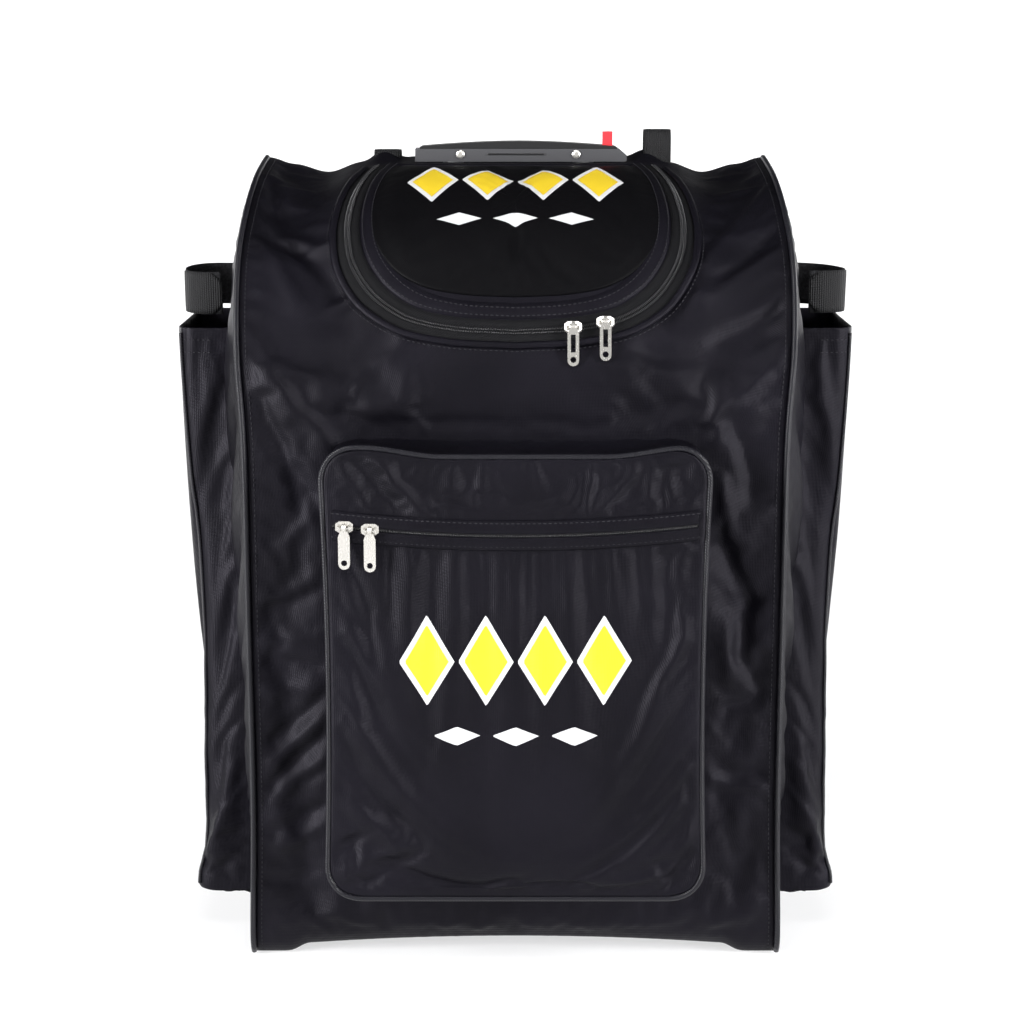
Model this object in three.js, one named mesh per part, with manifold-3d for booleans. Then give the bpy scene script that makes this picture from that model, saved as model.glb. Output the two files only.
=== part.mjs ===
// A black nylon cricket kit bag that stands on the floor: a hollow body with a zipped lid in its sloping top,
// a zipped front pocket, an open bat pocket and a hook-and-loop bat strap on each side, shoulder straps and
// two wheels at the back, and a telescopic handle. Millimetres, +Z up, the front faces -Y.
// The origin lies on the floor under the middle of the whole bag.
import * as THREE from "three";
import { mergeVertices } from "three/addons/utils/BufferGeometryUtils.js";
import Module from "manifold-3d";

const wasm = await Module();
wasm.setup();

// Body
const bodyHalfWidth = 236;
const bodyDepth = 260;
const bodyHeight = 711;
const bodyWall = 3;
const slopeDrop = 179;
const frontBulge = 5;
const gussetBulge = 20;
const gussetEdge = 16;
const gussetShoulder = 55;
const crownSag = 14;
const crownRise = 8;
const railRise = 8;
const baseArch = 7;
const foldDeep = 6;
const foldWidth = 20;
// Seats
const seat = 0.4;
const sewnGap = 0.6;
// Lid and its zip
const lidHinge = 44;
const zipLineHalfWidth = 150;
const zipLineEnd = 294;
const zipBandHalf = 11;
const zipTapeThick = 1.8;
const padHalfWidth = 131;
const padHinge = 54;
const padEnd = 262;
const padHeight = 13;
const lidThick = 2.4;
const lidProud = 0.4;
const padEdge = 2.5;
// Front pocket
const pocketHalfWidth = 167;
const pocketBottom = 76;
const pocketTopDrop = 229;
const pocketTop = bodyHeight - pocketTopDrop;
const pocketDepth = 50;
const pocketBulge = 9;
const pocketRound = 4.5;
const pocketSunk = 25;
const pocketWall = 2;
const pocketCorner = 30;
const pocketPinch = 5;
const pocketZipDrop = 74;
const pocketZipHeight = pocketTop - pocketZipDrop;
const pocketZipRise = 8;
const pocketZipBand = 22;
const pocketZipReach = 156;
const pipingRadius = 2.3;
// Bat pockets and straps
const batOut = 51;
const batFront = -72;
const batBack = 78;
const batBottom = 40;
const batMouthDrop = 140;
const batTop = bodyHeight - batMouthDrop;
const batWall = 2;
const batCorner = 16;
const strapWidth = 38;
const strapThick = 2;
const strapGap = 8;
const strapOut = 48;
// Shoulder straps
const webbingWidth = 26;
const webbingThick = 2;
const loopLeft = { x: -122, rise: 7 };
const loopRight = { x: 136, rise: 26 };
const shoulderWidth = 62;
const shoulderThick = 9;
const shoulderBow = 46;
const shoulderFootZ = 190;
const shoulderFootInset = 8;
const shoulderFootX = bodyHalfWidth + shoulderFootInset;
const ringWidth = 38;
const ringHeight = 18;
const ringBar = 4;
const ringThick = 4;
const ringGap = 0.8;
const tabLength = 34;
// Handle
const bezelHalfWidth = 98;
const bezelShift = 3;
const bezelRise = 8;
const bezelDepth = 30;
const bezelTrough = 7;
const bezelLip = 3.5;
const gripRise = 7;
const gripEndRise = 2.5;
const rodRadius = 7;
const rodSpread = 62;
const rodLength = 430;
const rodWall = 1.5;
const guideRadius = 10;
const guideLength = 560;
const slideClearance = 0.4;
const buttonSide = 9.5;
const buttonX = 88;
const buttonRise = 16;
const buttonSeat = 4;
const rivetRadius = 4;
const rivetHeight = 1.6;
const rivetSpread = 55;
// Wheels
const wheelX = 172;
const wheelRadius = 32;
const wheelWidth = 26;
const wheelReach = 10;
const axleRadius = 4;
const housingHalf = 34;
const housingWall = 6;
const housingTop = 86;
const wheelClear = 4;
// Zip sliders and pulls
const sliderLength = 15;
const sliderHeight = 10;
const sliderThick = 4;
const sliderStand = 0.6;
const bailRadius = 1.1;
const bailStand = 4.2;
const bailSpan = 9;
const eyeInner = 1.9;
const eyeOuter = 3.2;
const eyeThick = 3.4;
const pullWidth = 10;
const pullLength = 36;
const pullThick = 1.8;
const pullClear = 0.7;
const lidSliderX = [50, 78];
const pocketSliderX = [-146, -124];

// The front-and-top sheet seen from the side, from the base's front edge up and back to the rear top edge.
// up: share of the height. back: share of the depth. out: share of the half width, at the piped seam.
const sheetRows = [
  { up: 0.0, back: 0.035, out: 1.01 },
  { up: 0.02, back: 0.0, out: 1.01 },
  { up: 0.2, back: -0.012, out: 0.995 },
  { up: 0.45, back: -0.012, out: 0.995 },
  { up: 0.68, back: 0.005, out: 1.0 },
  { up: 0.78, back: 0.034, out: 1.02 },
  { up: 0.85, back: 0.14, out: 1.03 },
  { up: 0.9, back: 0.26, out: 1.03 },
  { up: 0.945, back: 0.43, out: 1.02 },
  { up: 0.975, back: 0.62, out: 1.01 },
  { up: 0.99, back: 0.82, out: 1.005 },
  { up: 1.0, back: 1.0, out: 1.0 },
];
// The top edge seen from behind, from the handle to a corner. at: share of the half width.
// sag: share of the cloth's sag between the seams. rise: share of its rise beside the handle.
const crownRows = [
  { at: 0.0, sag: 0.0, rise: 0.0 },
  { at: 0.44, sag: 0.0, rise: 0.0 },
  { at: 0.53, sag: 0.0, rise: 1.0 },
  { at: 0.62, sag: 0.3, rise: 0.0 },
  { at: 0.76, sag: 1.0, rise: 0.0 },
  { at: 0.9, sag: 0.45, rise: 0.0 },
  { at: 1.0, sag: 0.0, rise: 0.0 },
];
// The main folds of the sheet, each a valley from one point to another, or a ridge where deep is below 0.
// x, toX: shares of the half width. down, toDown: shares of the sheet's length from the rear top edge.
// wide: share of the fold width. deep: share of the fold depth.
const foldRows = [
  { x: -0.91, down: 0.17, toX: -0.65, toDown: 0.31, wide: 1.0, deep: 1.0 },
  { x: -0.92, down: 0.39, toX: -0.7, toDown: 0.46, wide: 1.0, deep: -0.7 },
  { x: 0.68, down: 0.28, toX: 0.97, toDown: 0.16, wide: 0.9, deep: -0.8 },
  { x: 0.68, down: 0.31, toX: 0.97, toDown: 0.26, wide: 0.8, deep: -0.6 },
  { x: 0.75, down: 0.365, toX: 0.98, toDown: 0.32, wide: 0.9, deep: 1.0 },
  { x: 0.76, down: 0.56, toX: 0.9, toDown: 0.68, wide: 0.8, deep: 0.8 },
  { x: -0.86, down: 0.7, toX: -0.78, toDown: 0.92, wide: 0.8, deep: 0.6 },
];
// Half of the lid's outline. down: share of the way from hinge to front edge. out: share of its half width.
const lidRows = [
  { down: 0.0, out: 0.87 },
  { down: 0.16, out: 0.93 },
  { down: 0.36, out: 0.985 },
  { down: 0.56, out: 1.0 },
  { down: 0.73, out: 0.955 },
  { down: 0.86, out: 0.83 },
  { down: 0.945, out: 0.64 },
  { down: 0.985, out: 0.38 },
  { down: 1.0, out: 0.0 },
];
// The bat pocket's outer wall, from bottom to top. up: share of its height. out: share of its reach.
const batRows = [
  { up: 0.0, out: 0.97 },
  { up: 0.08, out: 0.9 },
  { up: 0.25, out: 0.86 },
  { up: 0.45, out: 0.83 },
  { up: 0.65, out: 0.87 },
  { up: 0.82, out: 0.92 },
  { up: 1.0, out: 1.0 },
];

const backY = bodyDepth / 2;
const frontY = -backY;
const smooth = (from, to, v) => THREE.MathUtils.smoothstep(v, from, to);

// Solids and meshes

// A closed solid from points and triangles, turned to face out.
function closedSolid(points, triangles) {
  const vertProperties = new Float32Array(points.flatMap((p) => [p.x, p.y, p.z]));
  const triVerts = new Uint32Array(triangles.flat());
  const made = new wasm.Manifold(new wasm.Mesh({ numProp: 3, vertProperties, triVerts }));
  if (made.volume() > 0) return made;
  return closedSolid(points, triangles.map(([a, b, c]) => [a, c, b]));
}

function solidOf(geometry) {
  const bare = geometry.index ? geometry.toNonIndexed() : geometry.clone();
  bare.deleteAttribute("normal");
  bare.deleteAttribute("uv");
  const merged = mergeVertices(bare, 1e-4);
  const at = merged.attributes.position;
  const points = Array.from({ length: at.count }, (_, i) => new THREE.Vector3().fromBufferAttribute(at, i));
  const index = Array.from(merged.index.array);
  const triangles = Array.from({ length: index.length / 3 }, (_, i) => index.slice(3 * i, 3 * i + 3));
  return closedSolid(points, triangles);
}

function geometryOf(solid) {
  const mesh = solid.getMesh();
  const points = new Float32Array(mesh.numVert * 3);
  for (let i = 0; i < mesh.numVert; i++) {
    points.set(mesh.vertProperties.subarray(i * mesh.numProp, i * mesh.numProp + 3), i * 3);
  }
  const geometry = new THREE.BufferGeometry();
  geometry.setAttribute("position", new THREE.BufferAttribute(points, 3));
  geometry.setIndex(new THREE.BufferAttribute(mesh.triVerts, 1));
  geometry.computeVertexNormals();
  return geometry;
}

// The triangles between rings of equally many points. A closed run of rings has no caps.
function skinTriangles(ringCount, size, ringsClose = false) {
  const triangles = [];
  const last = ringsClose ? ringCount : ringCount - 1;
  for (let r = 0; r < last; r++) {
    for (let i = 0; i < size; i++) {
      const a = r * size + i;
      const b = r * size + ((i + 1) % size);
      const c = ((r + 1) % ringCount) * size + i;
      const d = ((r + 1) % ringCount) * size + ((i + 1) % size);
      triangles.push([a, b, d], [a, d, c]);
    }
  }
  return triangles;
}

const middleOf = (ring) => ring.reduce((sum, p) => sum.add(p), new THREE.Vector3()).divideScalar(ring.length);

// A loft through rings, with each end closed by a fan.
function loft(rings, ends = [middleOf(rings[0]), middleOf(rings.at(-1))]) {
  const size = rings[0].length;
  const points = [...rings.flat(), ...ends];
  const triangles = skinTriangles(rings.length, size);
  const first = rings.length * size;
  const lastRing = (rings.length - 1) * size;
  for (let i = 0; i < size; i++) {
    const next = (i + 1) % size;
    triangles.push([first, next, i], [first + 1, lastRing + i, lastRing + next]);
  }
  return closedSolid(points, triangles);
}

// A loft whose last ring meets its first, such as a band that goes all the way round.
const loopLoft = (rings) => closedSolid(rings.flat(), skinTriangles(rings.length, rings[0].length, true));

// A solid box between two corners.
function block(low, high) {
  const size = new THREE.Vector3().subVectors(high, low);
  const box = new THREE.BoxGeometry(size.x, size.y, size.z);
  box.translate((low.x + high.x) / 2, (low.y + high.y) / 2, (low.z + high.z) / 2);
  return solidOf(box);
}

// A round bar from one point to another.
function bar(from, to, radius, sides = 16) {
  const along = new THREE.Vector3().subVectors(to, from);
  const cylinder = new THREE.CylinderGeometry(radius, radius, along.length(), sides);
  const turn = new THREE.Quaternion().setFromUnitVectors(v3(0, 1, 0), along.clone().normalize());
  cylinder.applyQuaternion(turn);
  const middle = new THREE.Vector3().addVectors(from, to).multiplyScalar(0.5);
  cylinder.translate(middle.x, middle.y, middle.z);
  return solidOf(cylinder);
}

const v3 = (x, y, z) => new THREE.Vector3(x, y, z);

const sizeAt = (sizes, i) => (Array.isArray(sizes) ? sizes[i] : sizes);

// A strap: rectangles along a path, square to it and level with one direction. Each size is one number or a
// list of them.
function ribbon(path, across, widths, thicks) {
  const rings = path.map((p, i) => {
    const [before, after] = [path[Math.max(i - 1, 0)], path[Math.min(i + 1, path.length - 1)]];
    const face = after.clone().sub(before).cross(across).normalize().multiplyScalar(sizeAt(thicks, i) / 2);
    const side = across.clone().multiplyScalar(sizeAt(widths, i) / 2);
    return [
      p.clone().add(side).add(face),
      p.clone().add(side).sub(face),
      p.clone().sub(side).sub(face),
      p.clone().sub(side).add(face),
    ];
  });
  return loft(rings);
}

// A cord of round section along a path, closed on itself or with flat ends.
function cord(path, radius, closes = false, sides = 6) {
  const count = path.length;
  const rings = path.map((p, i) => {
    const before = path[closes ? (i + count - 1) % count : Math.max(i - 1, 0)];
    const after = path[closes ? (i + 1) % count : Math.min(i + 1, count - 1)];
    const along = new THREE.Vector3().subVectors(after, before).normalize();
    const out = new THREE.Vector3().crossVectors(along, v3(1, 0, 0.01)).normalize();
    if (closes) out.crossVectors(along, v3(0, 1, 0)).normalize();
    const up = new THREE.Vector3().crossVectors(out, along);
    return Array.from({ length: sides }, (_, k) => {
      const angle = (2 * Math.PI * k) / sides;
      const spoke = out.clone().multiplyScalar(Math.cos(angle) * radius);
      return p.clone().add(spoke).addScaledVector(up, Math.sin(angle) * radius);
    });
  });
  return closes ? loopLoft(rings) : loft(rings);
}

// The body's skin

const sheetCurve = new THREE.CatmullRomCurve3(
  sheetRows.map((r) => v3(r.out, frontY + r.back * bodyDepth, r.up * bodyHeight)),
  false,
  "centripetal",
);
const sheetLength = sheetCurve.getLength();

// How far the underside stands off the floor at a share of the half width: two rails with an arch between.
function baseRise(u) {
  const inside = 1 - smooth(0.8, 0.87, Math.abs(u));
  return inside * (railRise + baseArch * (1 - (u / 0.8) ** 2));
}

// The height of the top edge against its corners, at a share of the half width and with a share of the rise.
function crownAt(u, raised) {
  const across = Math.min(Math.abs(u), 1);
  const next = Math.max(crownRows.findIndex((row) => row.at >= across), 1);
  const [from, to] = [crownRows[next - 1], crownRows[next]];
  const share = smooth(from.at, to.at, across);
  const mix = (key) => from[key] + (to[key] - from[key]) * share;
  return mix("rise") * crownRise * raised - mix("sag") * crownSag;
}

// How far the folds draw the sheet in at a point.
function foldAt(x, down) {
  return foldRows.reduce((sum, row) => {
    const from = new THREE.Vector2(row.x * bodyHalfWidth, row.down * sheetLength);
    const run = new THREE.Vector2(row.toX * bodyHalfWidth, row.toDown * sheetLength).sub(from);
    const at = new THREE.Vector2(x, down).sub(from);
    const along = THREE.MathUtils.clamp(at.dot(run) / run.lengthSq(), 0, 1);
    const off = at.addScaledVector(run, -along).length() / (row.wide * foldWidth);
    return sum + row.deep * foldDeep * Math.exp(-off * off);
  }, 0);
}

// A point of the front-and-top sheet, x across and down along the sheet from the rear top edge.
function sheetPoint(x, down) {
  const share = THREE.MathUtils.clamp(1 - down / sheetLength, 0, 1);
  const at = sheetCurve.getPointAt(share);
  const along = sheetCurve.getTangentAt(share).setX(0).normalize();
  const u = x / (bodyHalfWidth * at.x);
  const up = at.z / bodyHeight;
  const lift = baseRise(u) * (1 - smooth(0, 0.1, up));
  const crown = crownAt(u, smooth(0.37, 0.48, at.y / bodyDepth)) * smooth(0.85, 0.98, up);
  const bulge = frontBulge * (1 - u * u) * smooth(0.02, 0.2, up) * (1 - smooth(0.7, 0.9, up));
  const fold = foldAt(x, down) * (1 - smooth(0.9, 1, Math.abs(u)));
  return v3(x, at.y - bulge + along.z * fold, at.z + lift + crown - along.y * fold);
}

// How far down the sheet it crosses a given height or depth, at a given x.
function downWhere(x, axis, value) {
  let [near, far] = [0, sheetLength];
  while (far - near > 0.01) {
    const middle = (near + far) / 2;
    if (sheetPoint(x, middle)[axis] > value) near = middle;
    else far = middle;
  }
  return near;
}

// The same point lifted off the sheet along its normal.
function sheetOff(x, down, off) {
  const step = 2;
  const acrossX = sheetPoint(x + step, down).sub(sheetPoint(x - step, down));
  const alongDown = sheetPoint(x, down + step).sub(sheetPoint(x, down - step));
  return sheetPoint(x, down).addScaledVector(alongDown.cross(acrossX).normalize(), off);
}

const sheetSteps = 24;
const rearSteps = [0.97, 0.75, 0.5, 0.25, 0.04];
const baseSteps = [0.96, 0.66, 0.33];

// One loop round the body at a share of its half width.
function bodySection(u) {
  const sheet = Array.from({ length: sheetSteps + 1 }, (_, i) => {
    const share = i / sheetSteps;
    const at = sheetCurve.getPointAt(share);
    return sheetPoint(u * bodyHalfWidth * at.x, sheetLength * (1 - share));
  });
  const crown = sheet.at(-1);
  const foot = baseRise(u);
  const rear = rearSteps.map((s) => v3(crown.x, backY, foot + (crown.z - foot) * s));
  const base = baseSteps.map((s) => v3(u * bodyHalfWidth * sheetRows[0].out, frontY + bodyDepth * s, foot));
  return [...sheet, ...rear, ...base];
}

// The side panel's rings, each drawn in towards the panel's middle and pushed out by the padding behind it.
function gussetRings(side) {
  const edge = bodySection(side);
  const middle = middleOf(edge);
  const fullness = (z) => gussetBulge * (0.3 + 0.7 * smooth(0, 0.6, z / bodyHeight));
  const drawn = (inset, share) =>
    edge.map((p) => {
      const inward = v3(0, middle.y - p.y, middle.z - p.z);
      const moved = p.clone().addScaledVector(inward, inset / inward.length());
      moved.x += side * fullness(p.z) * share;
      return moved;
    });
  const tip = middle.clone().setX(edge[0].x + side * gussetBulge * 0.8);
  return { rings: [drawn(gussetEdge, 0.65), drawn(gussetShoulder, 0.95)], tip };
}

const halfShares = [0.22, 0.44, 0.53, 0.62, 0.72, 0.8, 0.87, 0.94, 1];
const sectionShares = [...halfShares.map((u) => -u).reverse(), 0, ...halfShares];

function bodySkin() {
  const left = gussetRings(-1);
  const right = gussetRings(1);
  const rings = [left.rings[1], left.rings[0], ...sectionShares.map(bodySection), ...right.rings];
  return { rings, ends: [left.tip, right.tip] };
}

// The skin moved along its own normals, out for a seat and in for the inside of the wall.
function movedSkin(distance) {
  const { rings, ends } = bodySkin();
  const whole = geometryOf(loft(rings, ends));
  const read = (key, i) => new THREE.Vector3().fromBufferAttribute(whole.attributes[key], i);
  const corners = Array.from({ length: whole.attributes.position.count }, (_, i) => ({
    at: read("position", i),
    normal: read("normal", i),
  }));
  const nearer = (p) => (a, b) => (b.at.distanceToSquared(p) < a.at.distanceToSquared(p) ? b : a);
  const stepped = (p) => p.clone().addScaledVector(corners.reduce(nearer(p)).normal, distance);
  return loft(rings.map((ring) => ring.map(stepped)), ends.map(stepped));
}

const bodySolid = movedSkin(0);
const bodyInside = movedSkin(-bodyWall);
const bodySeat = movedSkin(seat);

// The lid

const lidSteps = 18;

// A closed outline on the sheet, as [x, down] pairs: round the front from the right of the hinge to the left.
function lidOutline(halfWidth, hinge, end, backSteps = 5) {
  const half = new THREE.CatmullRomCurve3(
    lidRows.map((r) => v3(r.out * halfWidth, hinge + r.down * (end - hinge), 0)),
    false,
    "centripetal",
  );
  const right = half.getSpacedPoints(lidSteps).map((p) => [p.x, p.y]);
  const left = right.slice(0, -1).reverse().map(([x, down]) => [-x, down]);
  const reach = lidRows[0].out * halfWidth;
  const across = (i) => reach * ((2 * (i + 1)) / (backSteps + 1) - 1);
  const back = Array.from({ length: backSteps }, (_, i) => [across(i), hinge]);
  return { front: [...right, ...left], back };
}

const closedOutline = (o) => [...o.front, ...o.back];

// A solid that fills an outline on the sheet, between two heights above it, each given for a share outward.
function patch(outline, shares, topAt, bottomAt) {
  const middle = [0, outline.reduce((sum, p) => sum + p[1], 0) / outline.length];
  const ringAt = (share, off) =>
    outline.map(([x, down]) => sheetOff(x * share, middle[1] + (down - middle[1]) * share, off));
  const top = shares.map((s) => ringAt(s, topAt(s)));
  const bottom = shares.map((s) => ringAt(s, bottomAt(s)));
  const tips = [sheetOff(0, middle[1], bottomAt(0)), sheetOff(0, middle[1], topAt(0))];
  return loft([...bottom.reverse(), ...top], tips);
}

// A band on the sheet between two outlines of equally many points.
function band(outer, inner, top, bottom, closes) {
  const rings = outer.map((p, i) => [
    sheetOff(...p, top),
    sheetOff(...inner[i], top),
    sheetOff(...inner[i], bottom),
    sheetOff(...p, bottom),
  ]);
  return closes ? loopLoft(rings) : loft(rings);
}

const hingeGap = 2 * sewnGap;
const openingOutline = lidOutline(zipLineHalfWidth + zipBandHalf, lidHinge, zipLineEnd + zipBandHalf);
const zipOuter = lidOutline(
  zipLineHalfWidth + zipBandHalf - sewnGap,
  lidHinge + hingeGap,
  zipLineEnd + zipBandHalf - sewnGap,
);
const zipInner = lidOutline(zipLineHalfWidth - zipBandHalf, lidHinge + hingeGap, zipLineEnd - zipBandHalf);
const borderOuter = lidOutline(
  zipLineHalfWidth - zipBandHalf - sewnGap,
  lidHinge + sewnGap,
  zipLineEnd - zipBandHalf - sewnGap,
);
const borderInner = lidOutline(padHalfWidth, padHinge, padEnd);
const padOutline = lidOutline(padHalfWidth - sewnGap, padHinge + sewnGap, padEnd - sewnGap);

const lidOpening = patch(closedOutline(openingOutline), [1, 0.5], () => 2 * bodyWall, () => -2.4 * bodyWall);
const lidZip = () => band(zipOuter.front, zipInner.front, lidProud, lidProud - zipTapeThick, false);
const lidBorder = () =>
  band(closedOutline(borderOuter), closedOutline(borderInner), lidProud, lidProud - lidThick, true);

function lidPad() {
  const dome = (share) => padEdge + (padHeight - padEdge) * (1 - share ** 3);
  const top = (share) => (share === 1 ? padEdge / 2 : dome(share));
  return patch(closedOutline(padOutline), [1, 0.93, 0.72], top, () => lidProud - lidThick);
}

// The front pocket

const pocketFrontY = frontY - pocketDepth;
const pocketMiddle = (pocketBottom + pocketTop) / 2;
const pocketHalfHeight = (pocketTop - pocketBottom) / 2;

// A rounded rectangle in the front view, drawn in by an inset, as [x, z] pairs.
function pocketOutline(inset) {
  const halfWidth = pocketHalfWidth - inset;
  const halfHeight = pocketHalfHeight - inset;
  const radius = Math.max(pocketCorner - inset, 4);
  const cornerSteps = 3;
  const sideSteps = 3;
  const points = [];
  const corners = [
    [1, 1],
    [-1, 1],
    [-1, -1],
    [1, -1],
  ];
  const quarter = Math.PI / 2;
  corners.forEach(([sx, sz], k) => {
    const cx = sx * (halfWidth - radius);
    const cz = pocketMiddle + sz * (halfHeight - radius);
    for (let i = 0; i <= cornerSteps; i++) {
      const angle = quarter * (k + i / cornerSteps);
      points.push([cx + radius * Math.cos(angle), cz + radius * Math.sin(angle)]);
    }
    const [nx, nz] = corners[(k + 1) % corners.length];
    const next = quarter * (k + 1);
    const to = [
      nx * (halfWidth - radius) + radius * Math.cos(next),
      pocketMiddle + nz * (halfHeight - radius) + radius * Math.sin(next),
    ];
    const from = points.at(-1);
    for (let i = 1; i < sideSteps; i++) {
      const share = i / sideSteps;
      points.push([from[0] + (to[0] - from[0]) * share, from[1] + (to[1] - from[1]) * share]);
    }
  });
  const pinched = (z) => 1 - ((z - pocketMiddle) / pocketHalfHeight) ** 2;
  return points.map(([x, z]) => [x * (1 - (pocketPinch / pocketHalfWidth) * pinched(z)), z]);
}

function pocketFaceY(x, z) {
  const across = 1 - (x / pocketHalfWidth) ** 2;
  const up = 1 - ((z - pocketMiddle) / pocketHalfHeight) ** 2;
  return pocketFrontY - pocketBulge * Math.max(across, 0) ** 0.6 * Math.max(up, 0) ** 0.6;
}

// The face's rings, drawn in from the pocket's edge towards its middle.
const pocketFaceInsets = [0.18, 0.48, 0.84].map((share) => pocketHalfWidth * share);

// The pocket's outside, or its inside when drawn in by the wall. Its rear end is sunk in the body.
function pocketShell(inset) {
  const rear = frontY + pocketSunk;
  const edge = pocketFrontY + inset;
  const flat = (extra, y) => pocketOutline(inset + extra).map(([x, z]) => v3(x, y, z));
  const face = (extra) => pocketOutline(inset + extra).map(([x, z]) => v3(x, pocketFaceY(x, z) + inset, z));
  const sides = [flat(0, rear), flat(0, edge + pocketRound), flat(pocketRound, edge)];
  const rings = [...sides, ...pocketFaceInsets.map(face)];
  return loft(rings, [v3(0, rear, pocketMiddle), v3(0, pocketFaceY(0, pocketMiddle) + inset, pocketMiddle)]);
}

const pocketZipAt = (x) => pocketZipHeight + pocketZipRise * (x / pocketZipReach) ** 2;

// The zip's long band across the pocket's face, grown by a margin, from one depth to another.
function pocketZipStrip(grow, outer, inner, reach) {
  const steps = 12;
  const half = pocketZipBand / 2 + grow;
  const rings = Array.from({ length: steps + 1 }, (_, i) => {
    const x = reach * (-1 + (2 * i) / steps);
    const z = pocketZipAt(x);
    return [
      v3(x, pocketFaceY(x, z + half) + outer, z + half),
      v3(x, pocketFaceY(x, z + half) + inner, z + half),
      v3(x, pocketFaceY(x, z - half) + inner, z - half),
      v3(x, pocketFaceY(x, z - half) + outer, z - half),
    ];
  });
  return loft(rings);
}

function frontPocket() {
  const slot = pocketZipStrip(sewnGap, -12, 14, pocketZipReach + sewnGap);
  return pocketShell(0).subtract(pocketShell(pocketWall)).subtract(bodySeat).subtract(slot);
}

function pocketPiping() {
  const off = (pipingRadius + seat) * Math.SQRT1_2;
  const y = pocketFrontY + pocketRound / 2 - off;
  const path = pocketOutline(pocketRound / 2 - off).map(([x, z]) => v3(x, y, z));
  return cord(path, pipingRadius, true);
}

// Piping on the seam between the front sheet and a side panel
function seamPiping(side) {
  const rings = gussetRings(side).rings;
  const edge = bodySection(side).slice(1, sheetSteps);
  const off = pipingRadius + seat + 0.3;
  const path = edge.map((p, i) => {
    const share = (i + 1) / sheetSteps;
    const down = sheetLength * (1 - share);
    const face = sheetOff(p.x, down, 1).sub(sheetPoint(p.x, down));
    const slope = new THREE.Vector3().subVectors(rings[0][i + 1], p).normalize();
    const outward = v3(side, 0, 0).addScaledVector(slope, -slope.x * side).normalize();
    return p.clone().addScaledVector(face.add(outward).normalize(), off);
  });
  return cord(path, pipingRadius).subtract(bodySeat);
}

// Bat pockets and straps

const batCurve = new THREE.CatmullRomCurve3(batRows.map((r) => v3(r.out, 0, r.up)), false, "centripetal");

function batSection(side, share, z, inset) {
  const inner = bodyHalfWidth - 20;
  const outer = bodyHalfWidth + gussetBulge - 6 + batOut * batCurve.getPoint(share).x - inset;
  const radius = batCorner - inset;
  const corners = [
    [outer - radius, batFront + inset + radius, -90],
    [outer - radius, batBack - inset - radius, 0],
  ];
  const round = corners.flatMap(([cx, cy, start]) =>
    [0, 30, 60, 90].map((turn) => {
      const angle = THREE.MathUtils.degToRad(start + turn);
      return v3(side * (cx + radius * Math.cos(angle)), cy + radius * Math.sin(angle), z);
    }),
  );
  return [v3(side * inner, batFront + inset, z), ...round, v3(side * inner, batBack - inset, z)];
}

function batPocket(side) {
  const steps = 8;
  const heights = Array.from({ length: steps + 1 }, (_, i) => i / steps);
  const span = batTop - batBottom;
  const outside = loft(heights.map((h) => batSection(side, h, batBottom + span * h, 0)));
  const hollow = heights.map((h) => {
    const z = h === 0 ? batBottom + batWall : batBottom + span * h + (h === 1 ? 5 : 0);
    return batSection(side, h, z, batWall);
  });
  return outside.subtract(loft(hollow)).subtract(bodySeat);
}

// The strap that closes round a bat: out from the side panel's back, round, and forward to a free end.
// out: share of the strap's reach. front: share of its half depth, forward.
const batStrapRows = [
  { out: -0.35, front: -0.95 },
  { out: 0.3, front: -1.0 },
  { out: 0.72, front: -0.8 },
  { out: 0.95, front: -0.35 },
  { out: 1.0, front: 0.15 },
  { out: 0.88, front: 0.65 },
  { out: 0.55, front: 0.95 },
  { out: 0.25, front: 1.0 },
];
const batStrapHalfDepth = 38;

function batStrap(side) {
  const root = bodyHalfWidth + gussetBulge - 4;
  const z = batTop + strapGap + strapWidth / 2;
  const curve = new THREE.CatmullRomCurve3(
    batStrapRows.map((r) => v3(side * (root + r.out * strapOut), -r.front * batStrapHalfDepth, z)),
    false,
    "centripetal",
  );
  return ribbon(curve.getSpacedPoints(18), v3(0, 0, 1), strapWidth, strapThick).subtract(bodySeat);
}

// Shoulder straps

// The webbing that stands up over the top edge and runs down the back to the padded strap.
function strapLoop({ x, rise }) {
  const top = bodyHeight + rise;
  const front = backY - 14;
  const rear = backY + 4;
  const turn = (rear - front) / 2;
  const arch = [-80, -45, 0, 45, 80].map((deg) => {
    const a = THREE.MathUtils.degToRad(deg);
    return v3(x, (front + rear) / 2 + turn * Math.sin(a), top - webbingThick / 2 - turn + turn * Math.cos(a));
  });
  const start = v3(x, front, bodyHeight - 40);
  const path = [start, ...arch, v3(x, rear, shoulderTopZ + 12), v3(x, rear + 2, shoulderTopZ + 1)];
  return ribbon(path, v3(1, 0, 0), webbingWidth, webbingThick).subtract(bodySeat);
}

const shoulderTopZ = bodyHeight - 50;
const shoulderSteps = 14;
const backRest = backY + seat;

// The padded strap, bowed off the back and drawn in to webbing that runs out to the body's lower corner.
function shoulderStrap({ x }) {
  const span = shoulderTopZ - shoulderFootZ;
  const path = [];
  const widths = [];
  const thicks = [];
  for (let i = 0; i <= shoulderSteps; i++) {
    const share = i / shoulderSteps;
    const padded = smooth(0, 0.1, share) * (1 - smooth(0.66, 0.78, share));
    const thick = webbingThick + 1 + (shoulderThick - webbingThick - 1) * padded;
    const bow = shoulderBow * Math.sin(Math.PI * share);
    const out = Math.sign(x) * (shoulderFootX - Math.abs(x)) * share ** 1.8;
    path.push(v3(x + out, backRest + thick / 2 + seat + bow, shoulderTopZ - span * share));
    widths.push(webbingWidth + (shoulderWidth - webbingWidth) * padded);
    thicks.push(thick);
  }
  return ribbon(path, v3(1, 0, 0), widths, thicks);
}

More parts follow.
